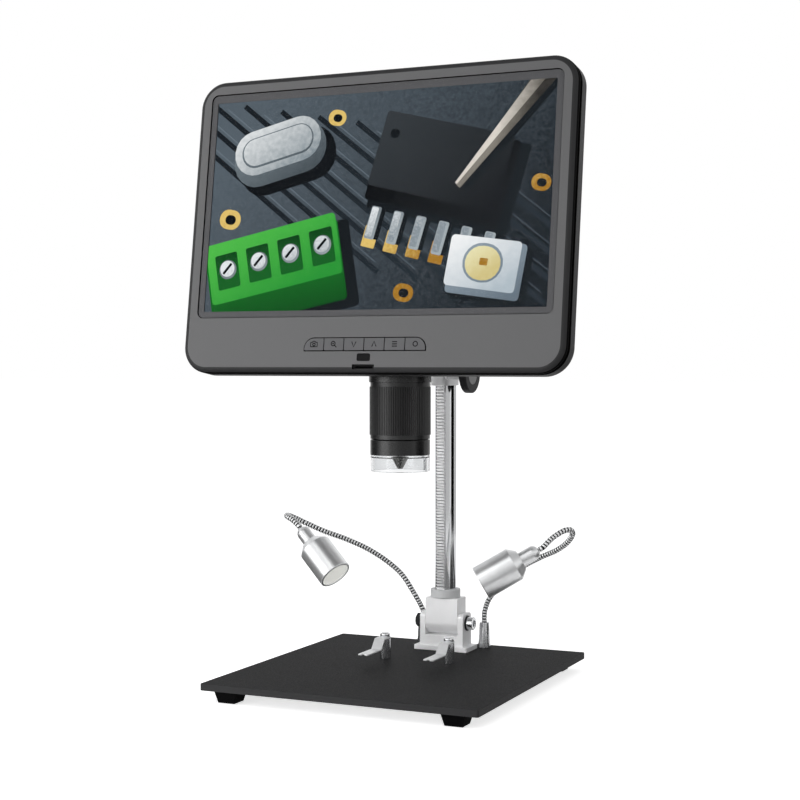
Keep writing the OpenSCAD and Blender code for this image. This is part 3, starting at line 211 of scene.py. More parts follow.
soft_box("key_light", 5.8, 0.8, (-0.9, -0.85, 0.7))
soft_box("low_light", 5.2, 0.5, (-0.4, -1.0, 0.1), (0, 0.05, 0.08))
soft_box("fill_light", 0.3, 0.9, (1.5, -0.5, 0.5))
soft_box("top_light", 1.2, 1.0, (0.1, 0.1, 1.6))

# The bands and ends stand upright round the pillar, the side and floor cards lie face up, and the
# glint faces the right lamp.
mirror_card("bright_band", 2.8, 0.7, 0.6, around(-126, 1.15, 0.2))
mirror_card("dark_band", 0.0, 0.6, 0.3, around(14, 0.8, 0.1), (0, PILLAR_Y, 0.1))
mirror_card("grey_band", 0.55, 0.95, 0.4, around(-50, 0.9, 0.14), (0, PILLAR_Y, 0.14))
mirror_card("grey_end", 0.5, 0.5, 0.4, around(60, 0.8, 0.14), (0, PILLAR_Y, 0.14))
mirror_card("dark_end", 0.12, 0.7, 0.4, around(180, 0.8, 0.14), (0, PILLAR_Y, 0.14))
mirror_card("dark_side", 0.05, 0.6, 0.6, (-0.42, -0.05, 0.005), (-0.42, -0.05, 1.0))
mirror_card("dark_floor", 0.05, 0.5, 0.5, (0.4, 0.17, 0.004), (0.4, 0.17, 1.0))
mirror_card("grey_floor", 0.2, 0.34, 0.34, (0.2, -0.26, 0.004), (0.2, -0.26, 1.0))
mirror_card("glint", 2.0, 0.16, 0.16, (-0.02, -0.3, 0.36), (0.044, 0.021, 0.063))

# ---- Base plate ----
# Steel sheet, 4 mm thick, sawn square with its edges broken, then powder-coated black. The coat
# has a fine leathery grain and hardly shines, even where it is seen at a low angle. Its edges are
# painted a little paler, a painted highlight where they catch the lamps.
NOISE_LOW, NOISE_HIGH = 0.3, 0.7  # nearly all of a noise lies between these values
ROUGH_SPREAD = 0.15


def surface(name, colour, roughness, metallic=0.0, grain=1.0, drawn=1.0, depth=0.0, tone=0.06,
            patch=30.0, specular=0.5):
    """A finish: its sRGB colour, a slow change of tone over patches, and a grain. The grain's size
    and depth and the patch's size are in millimetres. drawn is how many times longer the grain is
    along Z."""
    made, tree = empty_material(name)
    place = add(tree, "TexCoord").outputs["Object"]
    cloud = add(tree, "TexNoise", {"Vector": place, "Scale": 1 / (patch * MM), "Detail": 3.0})
    base = linear(colour)
    spread = add(tree, "ValToRGB", {"Fac": cloud.outputs["Fac"]})
    stops = zip(spread.color_ramp.elements, (NOISE_LOW, NOISE_HIGH), (1 - tone, 1 + tone))
    for stop, position, share in stops:
        stop.position = position
        stop.color = [min(c * share, 1) for c in base[:3]] + [1]
    shader = add(tree, "BsdfPrincipled", {"Base Color": spread.outputs["Color"],
                                          "Metallic": metallic, "Specular IOR Level": specular})
    scale = [1 / (size * MM) for size in (grain, grain, grain * drawn)]
    sized = add(tree, "Mapping", {"Vector": place, "Scale": scale})
    grit = add(tree, "TexNoise", {"Vector": sized.outputs[0], "Scale": 1.0, "Detail": 2.0})
    rough = add(tree, "MapRange", {"Value": grit.outputs["Fac"],
                                   "From Min": NOISE_LOW, "From Max": NOISE_HIGH,
                                   "To Min": roughness * (1 - ROUGH_SPREAD),
                                   "To Max": min(roughness * (1 + ROUGH_SPREAD), 1)})
    tree.links.new(rough.outputs[0], shader.inputs["Roughness"])
    if depth:
        bump = add(tree, "Bump", {"Height": grit.outputs["Fac"], "Distance": depth * MM,
                                  "Strength": 1.0})
        tree.links.new(bump.outputs[0], shader.inputs["Normal"])
    add(tree, "OutputMaterial", {"Surface": shader.outputs[0]})
    return made


def pick(obj):
    """Selects this object alone and makes it the active one."""
    bpy.ops.object.select_all(action="DESELECT")
    obj.select_set(True)
    bpy.context.view_layer.objects.active = obj


def apply(obj, kind, **settings):
    """Adds a modifier with its settings and applies it."""
    pick(obj)
    work = obj.modifiers.new("work", kind)
    for name, value in settings.items():
        setattr(work, name, value)
    bpy.ops.object.modifier_apply(modifier=work.name)


SHARP, SMOOTH = math.radians(35), math.radians(32)


def soften(obj, width, segments=2):
    """Rounds every edge sharper than SHARP to this width in millimetres. Faces that meet at less
    than SMOOTH are shaded as one, and flat faces stay flat in the light."""
    if width:
        apply(obj, "BEVEL", width=width * MM, segments=segments, limit_method="ANGLE",
              angle_limit=SHARP)
    pick(obj)
    bpy.ops.object.shade_smooth_by_angle(angle=SMOOTH)
    apply(obj, "WEIGHTED_NORMAL", keep_sharp=True)


def seat(obj, node, material=None):
    """Puts a finished piece in its node's place, with its body. Its finish is this
    material, or what it already carries."""
    source = frame["nodes"][node]
    if material:
        obj.data.materials.clear()
        obj.data.materials.append(material)
    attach(obj, source["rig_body"])
    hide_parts(node)
    return obj


WELD, FLAT = 0.002 * MM, math.radians(0.6)


def dressed(node, material, width=0.25, segments=2):
    """A copy of a CAD node. Points within WELD are merged, faces that meet at less than FLAT are
    made one, and its edges are rounded by this width in millimetres."""
    mesh = frame["nodes"][node].data.copy()
    obj = bpy.data.objects.new(node + "_piece", mesh)
    bpy.context.collection.objects.link(obj)
    pick(obj)
    bpy.ops.mesh.customdata_custom_splitnormals_clear()
    bpy.ops.object.mode_set(mode="EDIT")
    bpy.ops.mesh.select_all(action="SELECT")
    bpy.ops.mesh.remove_doubles(threshold=WELD)
    bpy.ops.mesh.dissolve_limited(angle_limit=FLAT)
    bpy.ops.mesh.normals_make_consistent(inside=False)
    bpy.ops.object.mode_set(mode="OBJECT")
    soften(obj, width, segments)
    return seat(obj, node, material)


def paint(obj, material, chosen, space=Matrix()):
    """Gives a second finish to the faces that chosen(middle, normal) picks. The middle is in
    millimetres, read in this space."""
    obj.data.materials.append(material)
    back = space.inverted()
    for face in obj.data.polygons:
        if chosen((back @ face.center) / MM, back.to_3x3() @ face.normal):
            face.material_index = len(obj.data.materials) - 1


EDGE_TILT = 0.9  # a face whose normal's Z is smaller belongs to the plate's edge
powder_coat = surface("powder_coated_steel", "#262627", 0.62, grain=0.7, depth=0.03, tone=0.05,
                      specular=0.04)
# Painted highlight: a paler coat on the plate's edges stands in for the light they catch.
painted_edge_light = surface("powder_coat_with_painted_edge_light", "#363637", 0.6, grain=0.7, depth=0.02, tone=0.05,
                    specular=0.1)
plate = dressed("base_plate", powder_coat, width=0.5, segments=3)
paint(plate, painted_edge_light, lambda middle, normal: abs(normal.z) < EDGE_TILT)

# ---- Feet ----
# Four blocks of moulded rubber, wider at the plate than at the table, with a screw up through
# each. The rubber is matt, and its mould leaves a dull even skin.
rubber = surface("moulded_rubber", "#070708", 0.8, grain=0.5, depth=0.03, tone=0.1, patch=8,
                 specular=0.05)
dressed("feet", rubber, width=0.6, segments=3)

# ---- Screws under the plate ----
# Zinc-plated socket screws, dull silver, driven from below: four short ones hold the feet and
# four longer ones the bracket.
zinc = surface("zinc_plate", "#9a9c9f", 0.32, metallic=1.0, grain=0.3, depth=0.006, tone=0.08,
               patch=3)
dressed("base_screws", zinc, width=0.15)

# ---- Stage clips ----
# Turned posts, bent spring-steel blades and domed nuts, all nickel-plated. Posts and nuts mirror
# the room, and the blades are satin. A blade has a notch at its tip and turns on the post's pin.
nickel = surface("bright_nickel", "#e9eaec", 0.18, metallic=1.0, tone=0.04, patch=6)
satin_nickel = surface("satin_nickel", "#e4e5e6", 0.38, metallic=0.55, grain=0.4, tone=0.04,
                       patch=6)
dressed("clip_posts", nickel, width=0.3)
for side in ("left", "right"):
    dressed("clip_blade_" + side, satin_nickel, width=0.15)
dressed("clip_nuts", nickel, width=0.1)

# ---- Pillar bracket and hinge ----
# Die-cast zinc in pale silver lacquer: a foot with two cheeks, and between them the block that
# holds the pillar. A nickel-plated bolt with black washers and a nut is the hinge between the two.
cast = surface("silver_lacquered_casting", "#f6f6f7", 0.36, metallic=0.15, grain=0.35, depth=0.01,
               tone=0.03, patch=12)
dressed("pillar_bracket", cast, width=0.5, segments=3)
dressed("hinge_block", cast, width=0.5, segments=3)
black_oxide = surface("black_oxide_steel", "#2b2b2d", 0.38, metallic=0.6, grain=0.3, depth=0.004,
                      tone=0.1, patch=3)
dressed("hinge_bolt", nickel, width=0.4, segments=3)
dressed("hinge_nut_washers", black_oxide, width=0.15)

# ---- Pillar ----
# Steel tube, ground and chrome-plated to a mirror, in the block's socket, with a milled rack let
# into its front. The flanks of the teeth and the gaps between them are painted darker as shade. A
# plastic collar hides the joint and a plug closes the top.
chrome = surface("polished_chrome", "#e4e5e7", 0.09, metallic=1.0, grain=2.0, drawn=20.0, tone=0.02)
dressed("pillar_tube", chrome, width=0.3)
milled = surface("milled_steel", "#fafafb", 0.34, metallic=1.0, tone=0.02, patch=4)
# Painted shade for the flanks of the teeth and the gaps between them.
painted_tooth_gap_shade = surface("painted_shade_in_tooth_gap", "#808183", 0.5, metallic=0.6, tone=0.03, patch=4)
rack = dressed("rack", milled, width=0.08, segments=1)
TIP_DEPTH, TOOTH_DEPTH, SIDEWAYS = 0.15, 1.25, 0.5
tooth_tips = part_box("rack")[0].y / MM


def between_teeth(middle, normal):
    """Whether a face of the rack is the flank of a tooth or lies between two of them."""
    return TIP_DEPTH < middle.y - tooth_tips < TOOTH_DEPTH and abs(normal.x) < SIDEWAYS


paint(rack, painted_tooth_gap_shade, between_teeth)
acetal = surface("grey_acetal", "#d0d1d2", 0.42, grain=0.4, depth=0.006, tone=0.02, specular=0.3)
dressed("pillar_collar", acetal, width=0.5, segments=3)
abs_black = surface("black_abs", "#1f1f20", 0.5, grain=0.45, depth=0.02, tone=0.06, specular=0.3)
dressed("pillar_cap", abs_black, width=0.6, segments=3)

# ---- Carriage and its screws ----
# The same silver casting slides on the pillar and carries the head on its arm. A socket screw
# behind sets how stiffly it slides, and four more hold the head.
dressed("carriage", cast, width=0.6, segments=3)
dressed("tension_screw", black_oxide, width=0.3)
dressed("arm_screws", zinc, width=0.2)

# ---- Focus drive ----
# A steel pinion shaft in two bushes drives the carriage up the rack. Each end has a moulded knob
# with a turned face and a lighter disc pressed into it.
dressed("pinion_shaft", milled, width=0.08, segments=1)
dressed("pinion_bushes", cast, width=0.2)
knob_black = surface("satin_black_knob", "#2e2e30", 0.45, grain=0.4, depth=0.01, tone=0.05,
                     specular=0.15)
for side in ("left", "right"):
    dressed("focus_knob_" + side, knob_black, width=0.2)
grey_disc = surface("grey_knob_disc", "#7a7a7b", 0.42, grain=0.4, depth=0.006, tone=0.03)
dressed("knob_caps", grey_disc, width=0.25)

# ---- Front bezel ----
# Moulded in grey ABS with a fine grain: a slab with round corners and a round front edge. Painted
# shade darkens the rim outside the face, and paints its sides and the walls of its openings black.

# The head's own pieces are made lying flat, the face up at height 0 and the picture's middle at the
# origin. The shell shares the case's outline, and the bezel's openings fit the glass and the keys.
CASE_W, CASE_H, CASE_MIDDLE = 248, 183.4, -11.9
CASE_CORNER, CASE_WALL, CASE_STEPS = 16.5, 2.4, 16
BEZEL_DEPTH, BEZEL_EDGE, SEAM, CASE_DEPTH = 4.2, 3.4, 3.4, 17
GLASS_W, GLASS_H, GLASS_CORNER, GLASS_UP = 230.4, 140.6, 3.85, 0.6
GLASS_FRONT, GLASS_BACK = -0.7, -1.8
LEAN = math.radians(8)
glass_low, glass_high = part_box("cover_glass")
turn = Matrix.Rotation(math.pi / 2 - LEAN, 4, "X")
head = Matrix.Translation((glass_low + glass_high) / 2) @ turn @ Matrix.Translation(
    (0, -GLASS_UP * MM, -(GLASS_FRONT + GLASS_BACK) / 2 * MM))
TOUCHING = 1e-6  # points this near each other, in metres, are in one place


def slab(name, width, height, corners, low, high, centre=(0, 0), segments=10, tilt=0.0, taper=1.0):
    """Block with rounded corners between two heights, in millimetres. corners is one radius, or one
    for each corner from the lower left one round to the upper left one. taper narrows its right
    end, and tilt turns it about its middle in degrees."""
    bpy.ops.object.select_all(action="DESELECT")
    bpy.ops.mesh.primitive_plane_add(size=1, location=(0, 0, low * MM))
    obj = bpy.context.object
    obj.name = name
    obj.scale = (width * MM, height * MM, 1)
    bpy.ops.object.transform_apply(location=True, rotation=False, scale=True)
    if not isinstance(corners, (list, tuple)):
        corners = [corners] * 4
    signs = ((-1, -1), (1, -1), (1, 1), (-1, 1))
    for (x, y), radius in zip(signs, corners):
        spot = Vector((x * width / 2 * MM, y * height / 2 * MM, low * MM))
        bpy.ops.object.mode_set(mode="EDIT")
        bpy.ops.mesh.select_mode(type="VERT")
        bpy.ops.mesh.select_all(action="DESELECT")
        bpy.ops.object.mode_set(mode="OBJECT")
        for vertex in obj.data.vertices:
            vertex.select = (vertex.co - spot).length < TOUCHING
        bpy.ops.object.mode_set(mode="EDIT")
        if radius:
            bpy.ops.mesh.bevel(offset=radius * MM, segments=segments, affect="VERTICES")
    bpy.ops.mesh.select_all(action="SELECT")
    bpy.ops.mesh.extrude_region_move(TRANSFORM_OT_translate={"value": (0, 0, (high - low) * MM)})
    bpy.ops.mesh.select_all(action="SELECT")
    bpy.ops.mesh.normals_make_consistent(inside=False)
    bpy.ops.object.mode_set(mode="OBJECT")
    for vertex in obj.data.vertices:
        if vertex.co.x > 0:
            vertex.co.y *= taper
    obj.data.transform(Matrix.Translation((centre[0] * MM, centre[1] * MM, 0))
                       @ Matrix.Rotation(math.radians(tilt), 4, "Z"))
    return obj


def round_face(obj, height, radius):
    """Rounds the outline of the face at one height."""
    pick(obj)
    bpy.ops.object.mode_set(mode="EDIT")
    bpy.ops.mesh.select_mode(type="EDGE")
    bpy.ops.mesh.select_all(action="DESELECT")
    bpy.ops.object.mode_set(mode="OBJECT")
    points = obj.data.vertices
    for edge in obj.data.edges:
        edge.select = all(abs(points[i].co.z - height * MM) < TOUCHING for i in edge.vertices)
    bpy.ops.object.mode_set(mode="EDIT")
    bpy.ops.mesh.bevel(offset=radius * MM, segments=6, affect="EDGES")
    bpy.ops.object.mode_set(mode="OBJECT")


def combine(obj, other, operation="DIFFERENCE"):
    """Cuts another object out of this one, joins it on or keeps what both hold, and removes it."""
    apply(obj, "BOOLEAN", operation=operation, solver="EXACT", object=other)
    bpy.data.objects.remove(other)


def lean_back(obj):
    """Moves a piece that was made lying flat to its place in the head."""
    obj.data.transform(head)
    obj.data.update()
    return obj


KEY_COUNT, KEY_PITCH, KEY_GAP, KEY_H = 6, 13.15, 0.5, 7.2
KEY_ROW_Y, KEY_CORNER, KEY_PROUD = -86.6, 6.2, 0.4
FACE_WALL, POCKET_GAP, POCKET_CORNER = 2.6, 0.25, 4.2
OPENING_W, OPENING_H, OPENING_CORNER = 224.5, 133.6, 1
SLOT_W, SLOT_H = KEY_COUNT * KEY_PITCH + KEY_GAP, KEY_H + 2 * KEY_GAP
SLOT_CORNERS = (0.5, 0.5, KEY_CORNER + KEY_GAP, KEY_CORNER + KEY_GAP)
WINDOW_W, WINDOW_H, WINDOW_CORNER, WINDOW_Y = 8.5, 4.4, 0.9, -94.3
NOTCH_W, NOTCH_H, NOTCH_CORNER, NOTCH_Y = 14.1, 2.9, 0.2, -100.05
BELOW, ABOVE = -9, 3  # a cutter between these heights goes right through
bezel = slab("bezel", CASE_W, CASE_H, CASE_CORNER, -BEZEL_DEPTH, 0, (0, CASE_MIDDLE), CASE_STEPS)
round_face(bezel, 0, BEZEL_EDGE)
for cutter in (
        slab("pocket", GLASS_W + 2 * POCKET_GAP, GLASS_H + 2 * POCKET_GAP, POCKET_CORNER,
             GLASS_BACK, ABOVE, (0, GLASS_UP)),
        slab("opening", OPENING_W, OPENING_H, OPENING_CORNER, BELOW, ABOVE),
        slab("hollow", CASE_W - 2 * CASE_WALL, CASE_H - 2 * CASE_WALL, CASE_CORNER - CASE_WALL,
             BELOW, -FACE_WALL, (0, CASE_MIDDLE), CASE_STEPS),
        slab("key_slot", SLOT_W, SLOT_H, SLOT_CORNERS, BELOW, ABOVE, (0, KEY_ROW_Y)),
        slab("window", WINDOW_W, WINDOW_H, WINDOW_CORNER, BELOW, ABOVE, (0, WINDOW_Y)),
        slab("notch", NOTCH_W, NOTCH_H, NOTCH_CORNER, BELOW, ABOVE, (0, NOTCH_Y), 3)):
    combine(bezel, cutter)
soften(bezel, width=0.15)

# How far up a face's normal points, from 1 for the flat face to 0 for the sides
FACE_TILT, SIDE_TILT = 0.995, 0.5
RIM_W = BEZEL_EDGE + 0.6


def on_rim(middle, normal):
    """Whether a face of the bezel lies on its round outer edge."""
    x, y = abs(middle.x), abs(middle.y - CASE_MIDDLE)
    side = x > CASE_W / 2 - RIM_W or y > CASE_H / 2 - RIM_W
    over_x, over_y = x - (CASE_W / 2 - CASE_CORNER), y - (CASE_H / 2 - CASE_CORNER)
    corner = min(over_x, over_y) > 0 and math.hypot(over_x, over_y) > CASE_CORNER - RIM_W
    return (side or corner) and SIDE_TILT < normal.z < FACE_TILT


def in_shadow(middle, normal):
    """Whether a face of the bezel is on its sides or in an opening."""
    return normal.z < FACE_TILT and not on_rim(middle, normal)


bezel_grey = surface("grey_moulded_abs", "#5c5c5d", 0.5, grain=0.5, depth=0.01, tone=0.012,
                     specular=0.3)
# Painted shade: a darker grey on the round edge outside the face.
painted_rim_shade = surface("painted_shade_on_rim", "#2b2b2c", 0.5, grain=0.5, depth=0.01, tone=0.02,
                   specular=0.2)
# Painted shade: black on sides, in openings, in the shell's groove and on the keys' sides.
painted_recess_shade = surface("painted_recess_shade", "#060606", 0.8, tone=0.02, specular=0.05)
bezel.data.materials.append(bezel_grey)
paint(bezel, painted_recess_shade, in_shadow)
paint(bezel, painted_rim_shade, on_rim)
seat(lean_back(bezel), "front_bezel")

# ---- Rear shell ----
# Black ABS tray with a lip behind the bezel, rows of vents, a mouth for the sockets on its left
# side and seven sunk screws. Its front edge and lip are painted black as the shade of the groove.
SHELL_FRONT, SHELL_EDGE, SHELL_WALL = -BEZEL_DEPTH - SEAM, 2, 2.65
LIP_INSET, LIP_LOW, LIP_HIGH = 1.45, SHELL_FRONT - 1, -BEZEL_DEPTH + 0.01
GROOVE_LOW = SHELL_FRONT - 0.3
VENT_W, VENT_H, VENT_CORNER, VENT_Y = 2.2, 24, 1.05, 34
VENT_LOW, VENT_HIGH = -CASE_DEPTH - 2, -CASE_DEPTH + 4
VENT_ROW, VENT_ROW_X, VENT_PITCH = 7, 78, 5.5
MOUTH_DEPTH, MOUTH_H, MOUTH_CORNER, MOUTH_Y = 8, 30.4, 0.3, -22
MOUTH_LOW, MOUTH_HIGH = -11.9, -7.8
SCREW_HOLE_RADIUS, SCREW_HOLE_DEPTH = 2.35, 2.1
SCREW_PLACES = ((-100, 74.6), (0, 74.6), (100, 74.6), (-112, -95), (112, -95),
                (-45, -98), (45, -98))
shell = slab("shell", CASE_W, CASE_H, CASE_CORNER, -CASE_DEPTH, SHELL_FRONT, (0, CASE_MIDDLE),
             CASE_STEPS)
round_face(shell, -CASE_DEPTH, SHELL_EDGE)
lip = slab("lip", CASE_W - 2 * LIP_INSET, CASE_H - 2 * LIP_INSET, CASE_CORNER - LIP_INSET,
           LIP_LOW, LIP_HIGH, (0, CASE_MIDDLE), CASE_STEPS)
combine(shell, lip, "UNION")
combine(shell, slab("inside", CASE_W - 2 * SHELL_WALL, CASE_H - 2 * SHELL_WALL,
                    CASE_CORNER - SHELL_WALL, -CASE_DEPTH + CASE_WALL, ABOVE, (0, CASE_MIDDLE), 12))
for row_x in (-VENT_ROW_X, VENT_ROW_X):
    for number in range(VENT_ROW):
        x = row_x + (number - (VENT_ROW - 1) / 2) * VENT_PITCH
        combine(shell, slab("vent", VENT_W, VENT_H, VENT_CORNER, VENT_LOW, VENT_HIGH,
                            (x, VENT_Y), 5))
combine(shell, slab("side_mouth", MOUTH_DEPTH, MOUTH_H, MOUTH_CORNER, MOUTH_LOW, MOUTH_HIGH,
                    (-CASE_W / 2, MOUTH_Y), 2))
for x, y in SCREW_PLACES:
    bpy.ops.mesh.primitive_cylinder_add(vertices=24, radius=SCREW_HOLE_RADIUS * MM,
                                        depth=2 * SCREW_HOLE_DEPTH * MM,
                                        location=(x * MM, y * MM, -CASE_DEPTH * MM))
    combine(shell, bpy.context.object)
soften(shell, width=0.2)
shell_black = surface("black_moulded_abs", "#2f2f30", 0.55, grain=0.6, depth=0.02, tone=0.04,
                      specular=0.25)
shell.data.materials.append(shell_black)
# Painted shade: the shell's front edge and lip are painted black, as the groove's shadow.
paint(shell, painted_recess_shade, lambda middle, normal: middle.z > GROOVE_LOW)
seat(lean_back(shell), "rear_shell")
dressed("shell_screws", black_oxide, width=0.12)
dressed("port_block", abs_black, width=0.1)

# ---- Cover glass ----
# Hardened glass, polished and nearly unseen, lying in the bezel's pocket. A grey border, which
# hides the panel's frame, is printed under its face.


def clear(name, colour, alpha, roughness, glow=0.0):
    """Thin clear sheet: mostly see-through, with a faint gloss. glow is the light that comes
    through."""
    made, tree = empty_material(name)
    shader = add(tree, "BsdfPrincipled", {"Base Color": linear(colour), "Roughness": roughness,
                                          "Alpha": alpha, "Specular IOR Level": 0.3,
                                          "Emission Color": linear(colour),
                                          "Emission Strength": glow})
    add(tree, "OutputMaterial", {"Surface": shader.outputs[0]})
    return made


glass = slab("cover_glass_piece", GLASS_W, GLASS_H, GLASS_CORNER, GLASS_BACK, GLASS_FRONT,
             (0, GLASS_UP))
soften(glass, width=0.12)
seat(lean_back(glass), "cover_glass", clear("clear_hardened_glass", "#20242a", 0.05, 0.05))

PICTURE_W, PICTURE_H, PICTURE_CORNER = 222.7, 131.8, 0.8
BORDER_INSET, BORDER_LOW, BORDER_HIGH = 0.15, GLASS_FRONT - 0.2, GLASS_FRONT - 0.06
border = slab("glass_border", GLASS_W - 2 * BORDER_INSET, GLASS_H - 2 * BORDER_INSET,
              GLASS_CORNER - BORDER_INSET, BORDER_LOW, BORDER_HIGH, (0, GLASS_UP))
combine(border, slab("window", PICTURE_W, PICTURE_H, PICTURE_CORNER, BELOW, ABOVE))
lean_back(border)
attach(border, "carriage")
border.data.materials.append(surface("grey_printed_border", "#515153", 0.5, tone=0.01,
                                     specular=0.2))

# ---- Panel and picture ----
# The panel in its black steel frame shows a live picture, which is its own light: a made-up view of
# a circuit board, built up from flat shapes one above another.
dressed("lcd_panel", surface("black_panel_frame", "#18181a", 0.5, tone=0.03), width=0.3)


def lit_ink(name, first, last, angle, span, centre=(0, 0), mottle=0.1, speck=2.5):
    """Picture colour that runs from one to another across a span in millimetres, turned by an angle
    in degrees, with a soft mottle whose specks have this size."""
    made, tree = empty_material(name)
    back = head.inverted()
    place = add(tree, "Mapping", {"Vector": add(tree, "TexCoord").outputs["Object"],
                                  "Rotation": back.to_euler(),
                                  "Location": back.translation}).outputs[0]
    along = Vector((math.cos(math.radians(angle)), math.sin(math.radians(angle)), 0))
    reach = add(tree, "VectorMath", {0: place, 1: along}, operation="DOT_PRODUCT").outputs["Value"]
    middle = along.dot(Vector((*centre, 0)))
    share = add(tree, "MapRange", {"Value": reach, "From Min": (middle - span / 2) * MM,
                                   "From Max": (middle + span / 2) * MM})
    noise = add(tree, "TexNoise", {"Vector": place, "Scale": 1 / (speck * MM), "Detail": 4.0})
    stirred = add(tree, "MapRange", {"Value": noise.outputs["Fac"],
                                     "From Min": NOISE_LOW, "From Max": NOISE_HIGH,
                                     "To Min": -mottle, "To Max": mottle})
    mixed = add(tree, "Math", {0: share.outputs[0], 1: stirred.outputs[0]}, operation="ADD")
    ramp = add(tree, "ValToRGB", {"Fac": mixed.outputs[0]})
    for stop, colour in enumerate((first, last)):
        ramp.color_ramp.elements[stop].color = linear(colour)
    glow = add(tree, "Emission", {"Color": ramp.outputs["Color"], "Strength": 1.0})
    add(tree, "OutputMaterial", {"Surface": glow.outputs[0]})
    return made


slate = lit_ink("picture_slate", "#59646d", "#1d2227", -35, 210, mottle=0.16, speck=1.6)
trace_dark = lit_ink("picture_dark_trace", "#1b2025", "#2c343b", -35, 160, mottle=0.2)
trace_light = lit_ink("picture_light_trace", "#6d7983", "#434d56", -35, 160, mottle=0.2)
leaf_green = lit_ink("picture_green_top", "#56c64f", "#2c9a38", -60, 60, (-66, -28), 0.08)
deep_green = lit_ink("picture_green_side", "#1f7c2c", "#0f4d1b", -80, 40, (-66, -52))
pit_green = lit_ink("picture_green_pit", "#0b3a16", "#1a6527", -80, 20, (-66, -28))
bright_lead = lit_ink("picture_bright_lead", "#eef2f4", "#8d989f", -70, 26, (-10, -20), 0.22, 1.2)
dull_lead = lit_ink("picture_dull_lead", "#737d83", "#a9b3b8", -70, 26, (-10, -20), 0.2, 1.2)
gold_pad = lit_ink("picture_gold", "#e9c873", "#a97a2b", -60, 24, (14, -34), 0.25, 1.5)
chip_top = lit_ink("picture_chip", "#3b4044", "#15171a", -50, 110, (40, 22), 0.12, 1.0)
chip_side = lit_ink("picture_chip_side", "#0c0d0f", "#1c1f22", -50, 80, (40, 0))
can_steel = lit_ink("picture_can", "#f3f6f7", "#87939a", -55, 52, (-72, 38), 0.12, 3)
can_side = lit_ink("picture_can_side", "#7b868d", "#4a5359", -55, 50, (-72, 30))
ceramic = lit_ink("picture_ceramic", "#fbfdfe", "#b7c4cd", -60, 40, (72, -38), 0.06, 3)
ceramic_side = lit_ink("picture_ceramic_side", "#93a2ad", "#6c7a86", -60, 40, (72, -46), 0.06)
pale_gel = lit_ink("picture_gel", "#f4eebf", "#d9c98a", -60, 18, (72, -36))
tong_steel = lit_ink("picture_tongs", "#e3ddd3", "#6b6760", -10, 22, (86, 40), 0.1, 4)
tong_shade = lit_ink("picture_tongs_shade", "#8b867d", "#34322f", -10, 22, (86, 40), 0.1, 4)
shadow_ink = lit_ink("picture_shadow", "#101316", "#1d2226", -35, 120)

# Each shape of the picture, from the lowest up: ink, middle, width and height, corner, tilt, taper.
# First the board with its traces, then round pads, the steel can, the chip and its six leads, the
# green terminal block with its four screws, the light on its ceramic, and the tip of the tongs.
PICTURE = [(slate, (0, 0), (PICTURE_W + 1, PICTURE_H + 1), 0.5, 0, 1)]
for i in range(9):
    PICTURE.append((trace_dark, (-96 + i * 26, 20 - i * 5), (190, 3.2), 0.4, -38, 1))
    PICTURE.append((trace_light, (-90 + i * 26, 20 - i * 5), (170, 0.7), 0.2, -38, 1))
for x, y, size in ((-98, -8, 15), (-28, 52, 12), (22, -56, 13), (104, 6, 12)):
    PICTURE.append((gold_pad, (x, y), (size, size * 0.82), size * 0.4, -12, 1))
    PICTURE.append((shadow_ink, (x + 0.3, y - 0.2), (size * 0.5, size * 0.4), size * 0.2, -12, 1))
PICTURE += [
    (shadow_ink, (-60, 27), (66, 34), 16, 14, 1), (can_side, (-66, 32), (64, 33), 16, 14, 1),
    (can_steel, (-68, 37), (60, 28), 14, 14, 1), (can_side, (-68, 37), (50, 19), 9.4, 14, 1),
    (can_steel, (-68, 37.4), (48, 17), 8.4, 14, 1),
    (shadow_ink, (46, 12), (92, 56), 2, -14, 1), (chip_side, (42, 16), (88, 52), 2, -14, 1),
    (chip_top, (41, 22), (84, 46), 2, -14, 1), (shadow_ink, (11, 40), (6, 5.6), 2.7, -14, 1)]
for i in range(6):
    x, y = 1 + i * 14.6, -5.5 - i * 3.6
    PICTURE += [(gold_pad, (x - 2.6, y - 16.5), (9, 13), 0.8, -14, 1),
                (shadow_ink, (x + 2.4, y - 9), (5, 19), 1, -14, 1),
                (dull_lead, (x - 1.2, y - 8), (6.6, 20), 1.2, -14, 1),
                (bright_lead, (x - 1.8, y - 7.4), (4.4, 18), 1, -14, 1)]
PICTURE += [
    (shadow_ink, (-56, -46), (92, 54), 3, 12, 1), (deep_green, (-64, -44), (92, 50), 2.5, 12, 1),
    (leaf_green, (-66, -34), (90, 38), 2.5, 12, 1)]
for i in range(4):
    x, y = -97 + i * 21.4, -40.4 + i * 4.5
    PICTURE += [(pit_green, (x, y), (15.5, 22), 1.2, 12, 1),
                (dull_lead, (x, y + 1), (12, 12), 5.9, 12, 1),
                (bright_lead, (x - 0.4, y + 1.5), (10, 10), 4.9, 12, 1),
                (shadow_ink, (x - 0.4, y + 1.5), (8.4, 1.7), 0.4, 50, 1)]
PICTURE += [
    (shadow_ink, (76, -46), (48, 34), 3, -8, 1), (ceramic_side, (73, -43), (46, 33), 2.5, -8, 1),
    (ceramic, (71, -40), (44, 30), 2.5, -8, 1), (ceramic_side, (71, -39.6), (25, 23), 11.4, -8, 1),
    (pale_gel, (71, -39.8), (22, 20), 9.9, -8, 1), (gold_pad, (71.5, -39), (5, 4.2), 0.6, -8, 1),
    (shadow_ink, (88, 41), (96, 12), 1, -129, 0.25),
    (tong_shade, (84, 44), (98, 15), 1, -129, 0.22), (tong_steel, (82, 45), (96, 8), 1, -129, 0.2)]

